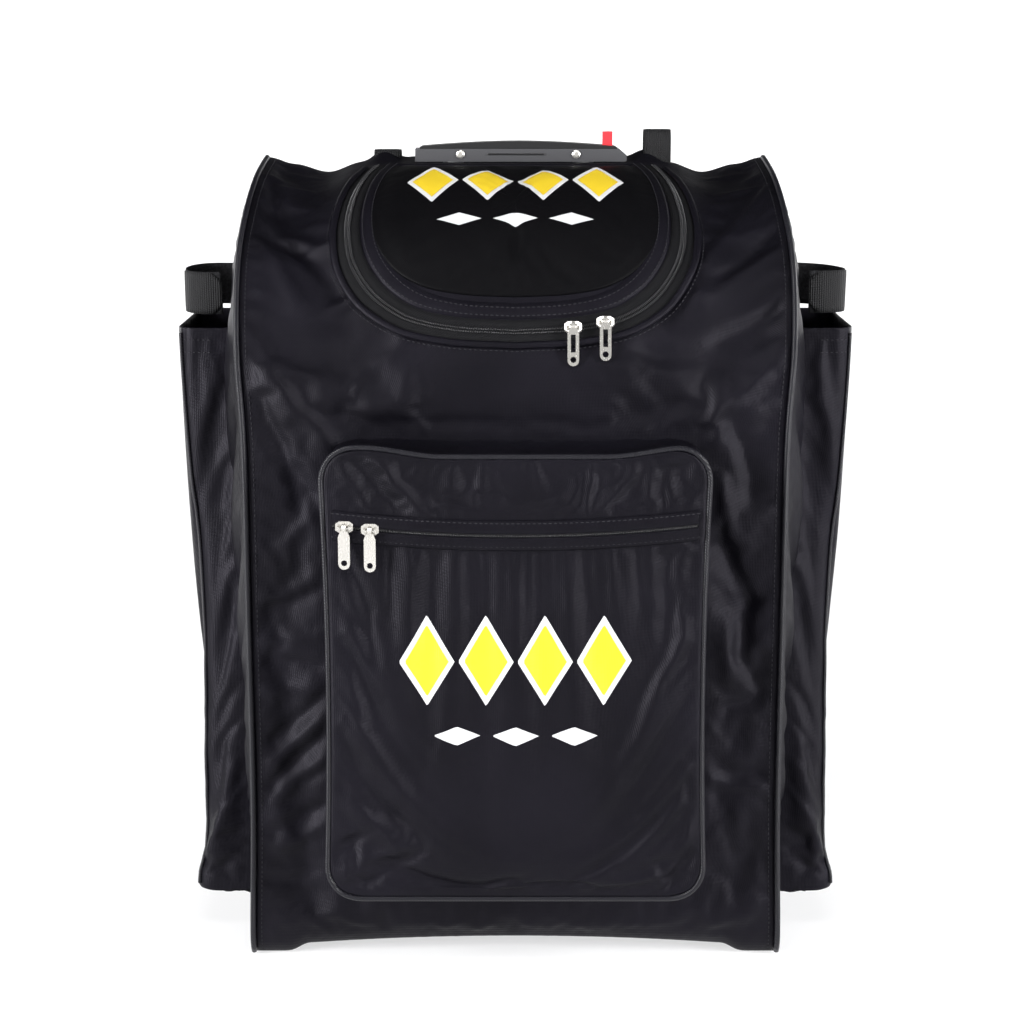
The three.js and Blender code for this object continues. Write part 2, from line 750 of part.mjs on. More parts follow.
// The rectangular ring at the foot of a strap: an outer frame round an inner one.
function strapRing(side) {
  const x = side * shoulderFootX;
  const top = shoulderFootZ - ringGap;
  const low = v3(x - ringWidth / 2, backRest, top - ringHeight);
  const high = v3(x + ringWidth / 2, backRest + ringThick, top);
  const slot = v3(ringBar, -1, ringBar);
  return block(low, high).subtract(block(low.clone().add(slot), high.clone().sub(slot)));
}

// The webbing that sews the ring to the back.
function strapTab(side) {
  const top = shoulderFootZ - ringGap - ringHeight - seat;
  const x = side * shoulderFootX;
  return block(
    v3(x - webbingWidth / 2, backRest, top - tabLength),
    v3(x + webbingWidth / 2, backRest + webbingThick, top),
  ).subtract(bodySeat);
}

// Telescopic handle

const handleY = backY - bodyWall - seat - guideRadius - 1;
const bezelTop = bodyHeight + bezelRise;
const grip = {
  halfWidth: bezelHalfWidth - bezelLip - slideClearance,
  halfDepth: bezelDepth / 2 - bezelLip - slideClearance,
  bottom: bezelTop - bezelTrough + slideClearance,
};
const rodXs = [-rodSpread + bezelShift, rodSpread + bezelShift];

// A flat front-view shape pushed through from one y to another.
function frontExtrusion(shape, fromY, toY, curveSegments = 8) {
  const solid = new THREE.ExtrudeGeometry(shape, { depth: toY - fromY, bevelEnabled: false, curveSegments });
  solid.rotateX(Math.PI / 2);
  solid.translate(0, toY, 0);
  return solidOf(solid);
}

// What a tube needs cut out of the top of the body or of the bezel.
const crownHole = (x, radius) => bar(v3(x, handleY, bodyHeight - 60), v3(x, handleY, bezelTop + 1), radius);

function handleBezel() {
  const shape = new THREE.Shape();
  const flare = 5;
  shape.moveTo(bezelShift - bezelHalfWidth - 1, bodyHeight - 30);
  shape.lineTo(bezelShift + bezelHalfWidth + flare, bodyHeight - 30);
  shape.lineTo(bezelShift + bezelHalfWidth + flare, bodyHeight + 2);
  shape.lineTo(bezelShift + bezelHalfWidth - 2, bezelTop);
  shape.lineTo(bezelShift - bezelHalfWidth, bezelTop);
  shape.closePath();
  const outside = frontExtrusion(shape, handleY - bezelDepth / 2, handleY + bezelDepth / 2);
  const inner = { x: grip.halfWidth + slideClearance, y: grip.halfDepth + slideClearance };
  const trough = block(
    v3(bezelShift - inner.x, handleY - inner.y, bezelTop - bezelTrough),
    v3(bezelShift + inner.x, handleY + inner.y, bezelTop + 20),
  );
  const holes = rodXs.map((x) => crownHole(x, rodRadius + slideClearance));
  return outside.subtract(bodySeat).subtract(trough).subtract(holes[0]).subtract(holes[1]);
}

function handleGrip() {
  const half = grip.halfWidth;
  const shape = new THREE.Shape();
  shape.moveTo(bezelShift - half, grip.bottom);
  shape.lineTo(bezelShift + half, grip.bottom);
  const [top, endTop, corner] = [bezelTop + gripRise, bezelTop + gripEndRise, gripEndRise / 2];
  shape.lineTo(bezelShift + half, endTop - corner);
  shape.lineTo(bezelShift + half - 2 * corner, endTop);
  shape.quadraticCurveTo(bezelShift + half * 0.4, top, bezelShift, top);
  shape.quadraticCurveTo(bezelShift - half * 0.4, top, bezelShift - half + 2 * corner, endTop);
  shape.lineTo(bezelShift - half, endTop - corner);
  shape.closePath();
  const whole = frontExtrusion(shape, handleY - grip.halfDepth, handleY + grip.halfDepth);
  const side = buttonSide / 2 + slideClearance;
  const socket = block(
    v3(buttonX - side, handleY - side, grip.bottom + buttonSeat - 2),
    v3(buttonX + side, handleY + side, bezelTop + gripRise + 10),
  );
  return whole.subtract(socket);
}

const buttonTravel = 5;
const buttonBottom = grip.bottom + buttonSeat - 2 + buttonTravel + slideClearance;
const releaseButton = () =>
  block(
    v3(buttonX - buttonSide / 2, handleY - buttonSide / 2, buttonBottom),
    v3(buttonX + buttonSide / 2, handleY + buttonSide / 2, bezelTop + buttonRise),
  );

// A tube standing on end, as a lathe of its wall.
function tube(x, y, low, high, outer, inner, sides = 12) {
  const wall = [
    [inner, low],
    [outer, low],
    [outer, high],
    [inner, high],
    [inner, low],
  ];
  const lathe = new THREE.LatheGeometry(wall.map(([r, z]) => new THREE.Vector2(r, z)), sides);
  lathe.rotateX(Math.PI / 2);
  lathe.translate(x, y, 0);
  return solidOf(lathe);
}

const rodTop = grip.bottom - seat;
const handleRod = (x) => tube(x, handleY, rodTop - rodLength, rodTop, rodRadius, rodRadius - rodWall);

// The tube that a rod slides in. It passes through the body's top and ends just under the bezel.
function guideTube(x) {
  const top = sheetPoint(x, downWhere(x, "y", handleY - guideRadius)).z;
  return tube(x, handleY, top - guideLength, top, guideRadius, rodRadius + slideClearance);
}

const bezelFaceY = handleY - bezelDepth / 2;
const rivetZ = bezelTop - rivetRadius - 1;

function bezelRivet(x) {
  const profile = [
    [0, 0],
    [rivetRadius, 0],
    [rivetRadius, rivetHeight * 0.4],
    [rivetRadius * 0.6, rivetHeight],
    [0, rivetHeight],
  ];
  const head = new THREE.LatheGeometry(profile.map(([r, h]) => new THREE.Vector2(r, h)), 12);
  head.rotateX(Math.PI);
  head.translate(x, bezelFaceY - seat, rivetZ);
  return solidOf(head);
}

// Wheels

const wheelY = backY + wheelReach - wheelRadius;
const wheelPost = (x) =>
  bar(v3(x - housingHalf + 2, wheelY, wheelRadius), v3(x + housingHalf - 2, wheelY, wheelRadius), axleRadius);
const cavityHalf = wheelWidth / 2 + 3;
const housingFront = wheelY - wheelRadius - wheelClear - housingWall;
const housingFloor = railRise + 1;

// The corner of the body that a wheel housing fills, grown by a margin.
function wheelCorner(x, grow, floor) {
  const half = housingHalf + grow;
  return block(v3(x - half, housingFront - grow, floor), v3(x + half, backY + 20, housingTop + grow));
}

function wheelHousing(x) {
  const beyond = backY + 2 * wheelRadius;
  const proud = block(v3(x - 2 * housingHalf, backY + 1, -1), v3(x + 2 * housingHalf, beyond, 2 * housingTop));
  const outside = wheelCorner(x, 0, housingFloor).subtract(proud);
  const cavity = block(
    v3(x - cavityHalf, wheelY - wheelRadius - wheelClear, -1),
    v3(x + cavityHalf, beyond, 2 * wheelRadius + wheelClear),
  );
  return outside.subtract(cavity).add(wheelPost(x));
}

function wheel(x) {
  const half = wheelWidth / 2;
  const bore = axleRadius + 0.35;
  const profile = [
    [bore, -half],
    [wheelRadius - 10, -half],
    [wheelRadius - 9, -half + 3],
    [wheelRadius - 4, -half + 3],
    [wheelRadius, -half + 7],
    [wheelRadius, half - 7],
    [wheelRadius - 4, half - 3],
    [wheelRadius - 9, half - 3],
    [wheelRadius - 10, half],
    [bore, half],
    [bore, -half],
  ];
  const lathe = new THREE.LatheGeometry(profile.map(([r, h]) => new THREE.Vector2(r, h)), 16);
  lathe.rotateZ(-Math.PI / 2);
  lathe.translate(x, wheelY, wheelRadius);
  return solidOf(lathe);
}

// Zip sliders and pulls

// How far the bail's middle stands off the zip.
const bailOut = sliderStand + sliderThick + bailStand;

// A slider on a zip that runs along x, seen from the front. Its bail stands off towards -Y.
function zipSlider() {
  const [half, high] = [sliderLength / 2, sliderHeight / 2];
  const [nose, waist] = [sliderLength * 0.22, sliderHeight * 0.28];
  const plate = new THREE.Shape();
  plate.moveTo(-half, -waist);
  plate.lineTo(nose - half, -high);
  plate.lineTo(half - nose, -high);
  plate.lineTo(half, -waist);
  plate.lineTo(half, waist);
  plate.lineTo(half - nose, high);
  plate.lineTo(nose - half, high);
  plate.lineTo(-half, waist);
  const face = -sliderStand - sliderThick;
  const legs = [-1, 1].map((side) => {
    const x = (side * bailSpan) / 2;
    return block(v3(x - 1, -bailOut - bailRadius, -1.2), v3(x + 1, face + 1, 1.2));
  });
  const post = bar(v3(-bailSpan / 2, -bailOut, 0), v3(bailSpan / 2, -bailOut, 0), bailRadius, 8);
  return frontExtrusion(plate, face, -sliderStand).add(legs[0]).add(legs[1]).add(post);
}

// A pull that hangs down from its bail at the origin. A slotted one has a long window over its hole.
function zipPull(slotted) {
  const half = pullWidth / 2;
  const top = 0.6 - eyeOuter;
  const low = -pullLength;
  const plate = new THREE.Shape();
  plate.moveTo(-half * 0.6, top);
  plate.lineTo(-half, top - 5);
  plate.lineTo(-half, low + half);
  plate.absarc(0, low + half, half, Math.PI, 2 * Math.PI, false);
  plate.lineTo(half, top - 5);
  plate.lineTo(half * 0.6, top);
  plate.closePath();
  const hole = new THREE.Path();
  hole.absarc(0, low + half + 0.6, half * 0.55, 0, 2 * Math.PI, true);
  plate.holes.push(hole);
  if (slotted) {
    const window = new THREE.Path();
    const side = half * 0.42;
    window.moveTo(-side, low + half * 2 + 2);
    window.lineTo(-side, top - 6);
    window.lineTo(side, top - 6);
    window.lineTo(side, low + half * 2 + 2);
    plate.holes.push(window);
  }
  const flat = frontExtrusion(plate, -pullThick / 2, pullThick / 2, 4);
  const eye = [
    [eyeInner, -eyeThick / 2],
    [eyeOuter, -eyeThick / 2],
    [eyeOuter, eyeThick / 2],
    [eyeInner, eyeThick / 2],
    [eyeInner, -eyeThick / 2],
  ];
  const ring = new THREE.LatheGeometry(eye.map(([r, h]) => new THREE.Vector2(r, h)), 10);
  ring.rotateZ(-Math.PI / 2);
  return flat.add(solidOf(ring));
}

// How far a pull leans out from hanging straight down so that it lies just clear of the cloth.
function restingLean(hung, clothY) {
  const back = pullThick / 2 + pullClear;
  const steps = [0.2, 0.4, 0.6, 0.8, 1];
  for (let lean = 0; lean < Math.PI / 2; lean += 0.01) {
    const clears = steps.every((step) => {
      const along = step * pullLength;
      const y = hung.y - along * Math.sin(lean) + back * Math.cos(lean);
      const z = hung.z - along * Math.cos(lean) - back * Math.sin(lean);
      return [-1, 0, 1].every((side) => y < clothY(hung.x + (side * pullWidth) / 2, z));
    });
    if (clears) return lean;
  }
  return Math.PI / 2;
}

// Where the lid's zip line passes a given x near its front.
function lidZipDown(x) {
  const line = lidOutline(zipLineHalfWidth, lidHinge, zipLineEnd).front.slice(lidSteps / 2);
  const after = line.findIndex(([px]) => px <= x);
  const [x0, d0] = line[after - 1];
  const [x1, d1] = line[after];
  return d0 + ((d1 - d0) * (x0 - x)) / (x0 - x1);
}

const sheetY = (x, z) => sheetPoint(x, downWhere(x, "z", z)).y;

// Materials

const material = (color, roughness, metalness = 0) =>
  new THREE.MeshStandardMaterial({ color, roughness, metalness });
const nylon = material(0x17161b, 0.55);
const padCloth = material(0x0d0d10, 0.5);
const pipe = material(0x1d1c22, 0.4);
const tape = material(0x141416, 0.7);
const webbing = material(0x101012, 0.8);
const steel = material(0xd8d4cc, 0.25, 1);
const greyTrim = material(0x5a5a5e, 0.4, 0.2);
const blackPlastic = material(0x0c0c0d, 0.35);
const redPlastic = material(0xd8262c, 0.35);
const aluminium = material(0xa8a9ac, 0.35, 0.9);
const tyre = material(0x1a1a1b, 0.75);

const bag = new THREE.Group();

function place(name, solid, finish, group = bag) {
  const mesh = new THREE.Mesh(geometryOf(solid), finish);
  mesh.name = name;
  group.add(mesh);
  return mesh;
}

// Assembly

const guideHoles = rodXs.map((x) => crownHole(x, guideRadius + seat));
const wholeBody = bodySolid
  .subtract(bodyInside)
  .subtract(lidOpening)
  .subtract(guideHoles[0])
  .subtract(guideHoles[1])
  .subtract(wheelCorner(-wheelX, seat, -20))
  .subtract(wheelCorner(wheelX, seat, -20));

// The body is in two solids that meet face to face at the height where its front starts to slope back.
const [bodyTop, mainBody] = wholeBody.splitByPlane([0, 0, 1], bodyHeight - slopeDrop);

place("main_body", mainBody, nylon);
place("body_top", bodyTop, nylon);
place("lid_border", lidBorder(), nylon);
place("lid_pad", lidPad(), padCloth);
place("lid_zip", lidZip(), tape);
place("front_pocket", frontPocket(), nylon);
place("pocket_zip", pocketZipStrip(0, 0.4, 0.4 + zipTapeThick, pocketZipReach), tape);
place("pocket_piping", pocketPiping(), pipe);

for (const [side, name] of [
  [-1, "left"],
  [1, "right"],
]) {
  place(`piping_${name}`, seamPiping(side), pipe);
  place(`bat_pocket_${name}`, batPocket(side), nylon);
  place(`bat_strap_${name}`, batStrap(side), webbing);
  const loop = side < 0 ? loopLeft : loopRight;
  place(`strap_loop_${name}`, strapLoop(loop), webbing);
  place(`shoulder_strap_${name}`, shoulderStrap(loop), nylon);
  place(`strap_ring_${name}`, strapRing(side), greyTrim);
  place(`strap_tab_${name}`, strapTab(side), webbing);
  place(`wheel_housing_${name}`, wheelHousing(side * wheelX), blackPlastic);
  place(`wheel_${name}`, wheel(side * wheelX), tyre);
  const rodX = rodXs[side < 0 ? 0 : 1];
  place(`guide_tube_${name}`, guideTube(rodX), aluminium);
  place(`handle_rod_${name}`, handleRod(rodX), aluminium);
  place(`bezel_rivet_${name}`, bezelRivet(bezelShift + side * rivetSpread), steel);
}

place("handle_bezel", handleBezel(), greyTrim);
place("handle_grip", handleGrip(), blackPlastic);
place("release_button", releaseButton(), redPlastic);

// A slider on its zip, leaning with the cloth, and its pull on the slider's bail.
function placeZipPull(kind, number, at, lean, clothY, slotted) {
  const slider = place(`${kind}_slider_${number}`, zipSlider(), steel);
  slider.position.copy(at);
  slider.rotation.x = -lean;
  const pull = place(`${kind}_pull_${number}`, zipPull(slotted), steel);
  pull.position.copy(v3(0, -bailOut, 0).applyEuler(slider.rotation).add(at));
  pull.rotation.x = -restingLean(pull.position, clothY);
}

lidSliderX.forEach((x, i) => {
  const down = lidZipDown(x);
  const at = sheetPoint(x, down);
  const normal = sheetOff(x, down, 1).sub(at);
  placeZipPull("lid", i + 1, at, Math.atan2(normal.z, -normal.y), sheetY, true);
});
pocketSliderX.forEach((x, i) => {
  const z = pocketZipAt(x);
  placeZipPull("pocket", i + 1, v3(x, pocketFaceY(x, z), z), 0, pocketFaceY, false);
});

// The origin goes to the floor under the middle of the whole bag.
const extent = new THREE.Box3().setFromObject(bag);
bag.position.y = -(extent.min.y + extent.max.y) / 2;
bag.position.z = -extent.min.z;

export default bag;
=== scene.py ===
# %% [markdown]
# A kit bag stands on the floor: a soft black nylon body that hangs from its corded seams, with a puffy
# zipped lid, a zipped front pocket, sleeves for bats and a pull-up handle. The hard pieces come with
# their exact shapes from the frame. This lesson makes everything soft, gives each surface its finish, and
# sets up the studio.

# %% Load the frame
import math
import bmesh
import bpy
import numpy as np
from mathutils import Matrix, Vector
from mathutils.bvhtree import BVHTree


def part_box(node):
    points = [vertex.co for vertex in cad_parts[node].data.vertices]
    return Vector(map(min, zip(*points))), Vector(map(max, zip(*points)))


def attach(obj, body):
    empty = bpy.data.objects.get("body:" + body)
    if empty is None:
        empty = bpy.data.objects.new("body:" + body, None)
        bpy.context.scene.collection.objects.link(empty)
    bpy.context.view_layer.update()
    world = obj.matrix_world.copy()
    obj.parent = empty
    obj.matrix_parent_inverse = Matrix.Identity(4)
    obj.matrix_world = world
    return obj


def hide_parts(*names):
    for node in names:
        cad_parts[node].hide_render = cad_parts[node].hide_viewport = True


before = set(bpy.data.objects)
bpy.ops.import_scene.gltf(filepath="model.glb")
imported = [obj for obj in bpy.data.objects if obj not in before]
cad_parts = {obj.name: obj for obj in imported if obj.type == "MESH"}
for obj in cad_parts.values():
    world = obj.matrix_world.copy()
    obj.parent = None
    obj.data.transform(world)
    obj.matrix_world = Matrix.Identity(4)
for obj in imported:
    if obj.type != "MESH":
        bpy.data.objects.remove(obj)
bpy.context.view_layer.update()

# %% [markdown]
# The camera comes first, because every piece is seen through it. It stands two metres in front of the
# bag, a little above the lid, and looks down twelve degrees. Level verticals would need no tilt, so the
# slight narrowing towards the floor tells both numbers.

# %% Camera
PICTURE = 1024
FOCAL_PIXELS = 2200
SENSOR = 36.0
CAMERA_PLACE = (-0.003, -2.010, 0.822)
CAMERA_TILT = 12.157
lens = bpy.data.cameras.new("camera")
lens.sensor_width = SENSOR
lens.lens = FOCAL_PIXELS / PICTURE * SENSOR
camera = bpy.data.objects.new("camera", lens)
camera.location = CAMERA_PLACE
camera.rotation_euler = (math.radians(90 - CAMERA_TILT), 0, 0)
bpy.context.collection.objects.link(camera)
bpy.context.scene.camera = camera
print("lens:", round(lens.lens, 1), "mm")

# %% [markdown]
# Finishes are node trees, and most of their nodes are sums. Building each Math node by hand hides the
# idea, so a small class wraps a socket and lets Python's own operators add the nodes: `height * 0.3 +
# 0.5` is one Multiply node and one Add node. Everything else goes through one method that takes a node's
# type, its settings and its inputs.


# %% Shader sums
class Wire:
    """A number, colour or vector that runs between a material's nodes."""

    def __init__(self, tree, socket):
        self.tree = tree
        self.socket = socket

    def node(self, kind, settings=None, inputs=None, out=0):
        """Adds a node, sets it up, plugs its inputs in, and gives back one of its outputs."""
        made = self.tree.nodes.new(kind)
        for key, value in (settings or {}).items():
            if key == "stops":
                for i, (at, colour) in enumerate(value):
                    stop = made.color_ramp.elements[i] if i < 2 else made.color_ramp.elements.new(at)
                    stop.position, stop.color = at, colour
            else:
                setattr(made, key, value)
        for key, value in (inputs or {}).items():
            if isinstance(value, Wire):
                self.tree.links.new(value.socket, made.inputs[key])
            else:
                made.inputs[key].default_value = value
        return Wire(self.tree, made.outputs[out])

    def math(self, operation, *others):
        values = dict(enumerate((self, *others)))
        return self.node("ShaderNodeMath", {"operation": operation}, values)

    def __add__(self, other):
        return self.math("ADD", other)

    def __mul__(self, other):
        return self.math("MULTIPLY", other)

    def __abs__(self):
        return self.math("ABSOLUTE")

    __radd__ = __add__
    __rmul__ = __mul__

    def sine(self):
        return self.math("SINE")

    def between(self, low, high):
        """0 below low, 1 above high, straight in between."""
        settings = {"interpolation_type": "SMOOTHSTEP"}
        return self.node("ShaderNodeMapRange", settings, {"Value": self, "From Min": low, "From Max": high})

    def blend(self, first, second):
        """A colour that runs from the first to the second as this value goes from 0 to 1."""
        settings = {"data_type": "RGBA"}
        return self.node("ShaderNodeMix", settings, {0: self, 6: (*first, 1), 7: (*second, 1)}, out=2)


def place_wires(tree):
    """Where a surface point is, in metres, as one vector and its three numbers."""
    here = Wire(tree, tree.nodes.new("ShaderNodeTexCoord").outputs["Object"])
    split = tree.nodes.new("ShaderNodeSeparateXYZ")
    tree.links.new(here.socket, split.inputs[0])
    return here, *(Wire(tree, out) for out in split.outputs)


def clouds(here, scale, detail=3.0, roughness=0.5, stretch=(1, 1, 1)):
    """Soft noise, from 0 to 1, in cycles a metre."""
    scaled = here.node("ShaderNodeMapping", {}, {"Vector": here, "Scale": stretch})
    values = {"Vector": scaled, "Scale": scale, "Detail": detail, "Roughness": roughness}
    return scaled.node("ShaderNodeTexNoise", {}, values)


# %% [markdown]
# Black cloth shows its folds only in what it reflects, so the studio is mostly wide, soft panels. One on
# each side in front draws light along the folds, and a weak one above lights the lid. Two at the rear
# sides light the back, and one far behind whitens the wall. The floor is a pale sheet that curves up far
# behind, so no horizon crosses the front view. It glows a little, so that it is pale all round, far from
# the panels too. The world is pale near the horizon and dark above, because the lid would mirror a pale
# sky.


# %% Studio
def floor_paper():
    """Matt paper that sends back some light and gives some of its own."""
    made = bpy.data.materials.new("floor_paper")
    made.use_nodes = True
    shader = made.node_tree.nodes["Principled BSDF"]
    shader.inputs["Base Color"].default_value = (0.4, 0.4, 0.403, 1)
    shader.inputs["Roughness"].default_value = 0.8
    shader.inputs["Specular IOR Level"].default_value = 0.1
    shader.inputs["Emission Color"].default_value = (0.62, 0.62, 0.625, 1)
    shader.inputs["Emission Strength"].default_value = 1.0
    return made


def floor_sweep(half_width=9.0, front=-9.0, back=5.0, curve=1.0, height=1.25, steps=24):
    """A floor that turns up into a low wall along a quarter circle, in metres."""
    path = [(front, 0.0), (back, 0.0)]
    for i in range(1, steps + 1):
        turn = math.pi / 2 * i / steps
        path.append((back + curve * math.sin(turn), curve * (1 - math.cos(turn))))
    path.append((back + curve, height))
    points = [(side * half_width, y, z) for y, z in path for side in (-1, 1)]
    faces = [(2 * i, 2 * i + 1, 2 * i + 3, 2 * i + 2) for i in range(len(path) - 1)]
    mesh = bpy.data.meshes.new("floor")
    mesh.from_pydata(points, [], faces)
    mesh.shade_smooth()
    sweep = bpy.data.objects.new("floor", mesh)
    bpy.context.collection.objects.link(sweep)
    mesh.materials.append(floor_paper())


def soft_panel(name, place, aim, size, power):
    """An area light that faces a point. Its size is its width and height in metres, its power in watts."""
    data = bpy.data.lights.new(name, "AREA")
    data.shape = "RECTANGLE"
    data.size, data.size_y = size
    data.energy = power
    panel = bpy.data.objects.new(name, data)
    panel.location = place
    panel.rotation_euler = (Vector(aim) - Vector(place)).to_track_quat("-Z", "Y").to_euler()
    bpy.context.collection.objects.link(panel)


floor_sweep()
BAG_MIDDLE = (0, 0, 0.4)
soft_panel("left_panel", (-2.5, -1.5, 1.1), BAG_MIDDLE, (0.8, 1.8), 150)
soft_panel("right_panel", (2.5, -1.3, 1.1), BAG_MIDDLE, (0.7, 1.8), 130)
soft_panel("top_panel", (0.0, -1.6, 3.0), (0, 0.1, 0.3), (1.6, 0.8), 30)
soft_panel("rear_left_panel", (-2.5, 2.3, 1.0), BAG_MIDDLE, (0.8, 1.8), 34)
soft_panel("rear_right_panel", (2.5, 2.3, 1.0), BAG_MIDDLE, (0.8, 1.8), 34)
soft_panel("wall_panel", (0.0, 4.2, 2.6), (0, 5.4, 0.0), (8.0, 1.6), 240)
world = bpy.data.worlds.new("studio")
world.use_nodes = True
backdrop = world.node_tree.nodes["Background"]
toward = Wire(world.node_tree, world.node_tree.nodes.new("ShaderNodeTexCoord").outputs["Generated"])
height = toward.node("ShaderNodeSeparateXYZ", {}, {0: toward}, out=2)
sky = height.between(0.03, 0.35).blend((0.7, 0.7, 0.7), (0.05, 0.05, 0.05))
world.node_tree.links.new(sky.socket, backdrop.inputs["Color"])
backdrop.inputs["Strength"].default_value = 1.0
bpy.context.scene.world = world
bpy.context.scene.view_settings.view_transform = "Standard"
print("studio panels:", len(bpy.data.lights))

# %% [markdown]
# Every finish is a Principled shader. One function makes them all: a colour, a roughness, a relief for
# the Bump node and the depth of that relief in metres. What is the same all over goes straight onto the
# shader's sockets.

# %% Finishes
MATERIALS = {}


def finish(name, colour, roughness, relief=None, depth=0.0004, **fixed):
    """A Principled finish. Colour and roughness are values or wires, relief a height from 0 to 1."""
    made = bpy.data.materials.new(name)
    made.use_nodes = True
    tree = made.node_tree
    shader = tree.nodes["Principled BSDF"]
    wires = place_wires(tree)
    for key, value in (("Base Color", colour), ("Roughness", roughness)):
        value = value(*wires) if callable(value) else value
        if isinstance(value, Wire):
            tree.links.new(value.socket, shader.inputs[key])
        else:
            shader.inputs[key].default_value = (*value, 1) if key == "Base Color" else value
    for key, value in fixed.items():
        shader.inputs[key.replace("_", " ")].default_value = value
    if relief:
        height = relief(*wires)
        bump = height.node("ShaderNodeBump", {}, {"Strength": 1.0, "Distance": depth, "Height": height})
        tree.links.new(bump.socket, shader.inputs["Normal"])
    MATERIALS[name] = made


# %% [markdown]
# The cloth is a plain-woven nylon: fine ribs two ways, a satin gleam, and small creases everywhere that
# light catches. The ribs are sines of the place, mixed so that they run true on the front, the sides and
# the top. Webbing has wide ridges, hook-and-loop tape is a fuzz of short fibres, and a cord is twisted
# cloth.


# %% Cloth finishes
def waves(value, pitch):
    """A sine that repeats every pitch, in metres."""
    return (value * (2 * math.pi / pitch)).sine()


def ribs(here, x, y, z):
    """Two sets of fine threads that cross, 0 to 1."""
    return (waves(x + y, 0.0013) + waves(z + y * 0.7, 0.0013)) * 0.25 + 0.5


def nylon_relief(here, x, y, z):
    creases = clouds(here, 55, 4, 0.55, (1.0, 1.0, 0.6))
    return ribs(here, x, y, z) * 0.3 + creases * 1.6


def nylon_colour(here, x, y, z):
    worn = clouds(here, 9, 3).between(0.35, 0.7)
    return worn.blend((0.0024, 0.0022, 0.0036), (0.0042, 0.0038, 0.0062))


def nylon_gloss(here, x, y, z):
    return clouds(here, 26, 3) * 0.16 + 0.36


finish("black_nylon", nylon_colour, nylon_gloss, nylon_relief, 0.0006, Specular_IOR_Level=0.135,
       Specular_Tint=(0.9, 0.86, 1, 1))
finish("pad_nylon", (0.0025, 0.0024, 0.003), nylon_gloss, nylon_relief, 0.0006, Specular_IOR_Level=0.05)


def cord_relief(here, x, y, z):
    return waves(x + y + z, 0.0026) * 0.4 + 0.5


finish("piping_cloth", (0.008, 0.0077, 0.011), 0.34, cord_relief, 0.0003, Specular_IOR_Level=0.3)
finish("zip_tape", (0.005, 0.005, 0.006), 0.6, ribs, 0.0004, Specular_IOR_Level=0.12)
finish("zip_coil", (0.012, 0.012, 0.014), 0.32)
finish("thread", (0.02, 0.0195, 0.024), 0.6, Specular_IOR_Level=0.2)


def webbing_relief(here, x, y, z):
    weft = waves(z + y, 0.0016) * 0.5 + 0.5
    return abs(waves(x, 0.0042)) * 0.8 + weft * 0.35


finish("webbing", (0.0075, 0.0075, 0.0085), 0.72, webbing_relief, 0.0006, Specular_IOR_Level=0.25)


def fuzz_relief(here, x, y, z):
    return clouds(here, 900, 2, 0.7) + clouds(here, 160, 2) * 0.6


def fuzz_colour(here, x, y, z):
    return clouds(here, 500, 2).between(0.3, 0.75).blend((0.006, 0.006, 0.007), (0.02, 0.02, 0.023))


finish("hook_and_loop", fuzz_colour, 0.8, fuzz_relief, 0.0009, Specular_IOR_Level=0.2)
print("cloth finishes:", len(MATERIALS))

# %% [markdown]
# Hard finishes are short: what tells metal from plastic is its reflection. Each still has its small
# flaws, such as a moulding's grain or the fine scratches on plated zinc. The inks keep the ribs of the
# cloth beneath them.


# %% Hard finishes
def grain(here, x, y, z):
    return clouds(here, 1400, 2)


def scratches(here, x, y, z):
    return clouds(here, 700, 3, 0.6, (1, 1, 0.15)) * 0.22 + 0.14


def brushed(here, x, y, z):
    return clouds(here, 900, 2, 0.6, (1, 1, 0.03)) * 0.2 + 0.25


def tread(here, x, y, z):
    return abs(waves(x, 0.009)) + clouds(here, 500, 2) * 0.3


finish("nickel", (0.66, 0.64, 0.60), scratches, Metallic=0.72)
finish("grey_plastic", (0.06, 0.06, 0.065), 0.36, grain, 0.0001)
finish("black_plastic", (0.012, 0.012, 0.013), 0.34, grain, 0.00012)
finish("red_plastic", (0.72, 0.028, 0.04), 0.28, grain, 0.00005, Coat_Weight=0.4)
finish("aluminium", (0.55, 0.56, 0.58), brushed, Metallic=1.0)
finish("tyre_rubber", (0.016, 0.016, 0.017), 0.72, tread, 0.0003)
finish("yellow_ink", (0.78, 0.66, 0.006), 0.5, ribs, 0.00025)
finish("gold_ink", (0.70, 0.50, 0.015), 0.5, ribs, 0.00025)
finish("silver_ink", (0.62, 0.62, 0.64), 0.45, ribs, 0.00025)
print("all finishes:", len(MATERIALS))

# %% [markdown]
# One sheet of nylon makes the whole front and the sloping top, so one function can give all of it. It
# takes how far across and how far down the sheet a point lies, as a tailor would measure, and gives its
# place in space. Side view, sag of the top edge and big folds each have a short table in shares of the
# bag's own sizes. From here on lengths are in millimetres, and a mesh is brought to metres when it is
# made.

# %% The bag's sheet of cloth
MM = 0.001
HALF_WIDTH, DEPTH, HEIGHT = 236.0, 260.0, 711.0
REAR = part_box("main_body")[1].y / MM
FRONT = REAR - DEPTH
# halfway from FRONT to REAR, to a tenth of a millimetre
MIDDLE_Y = 4.963
FRONT_BULGE, SAG, RISE, FOOT_RISE, BASE_ARCH = 5.0, 14.0, 8.0, 8.0, 7.0
FOLD_DEEP, FOLD_WIDTH = 6.0, 20.0
# up: share of the height, back: share of the depth, out: share of the half width at the corded seam
SIDE_VIEW = ((0, 0.035, 1.01), (0.02, 0, 1.01), (0.2, -0.012, 0.995), (0.45, -0.012, 0.995),
             (0.68, 0.005, 1), (0.78, 0.034, 1.02), (0.85, 0.14, 1.03), (0.9, 0.26, 1.03),
             (0.945, 0.43, 1.02), (0.975, 0.62, 1.01), (0.99, 0.82, 1.005), (1, 1, 1))
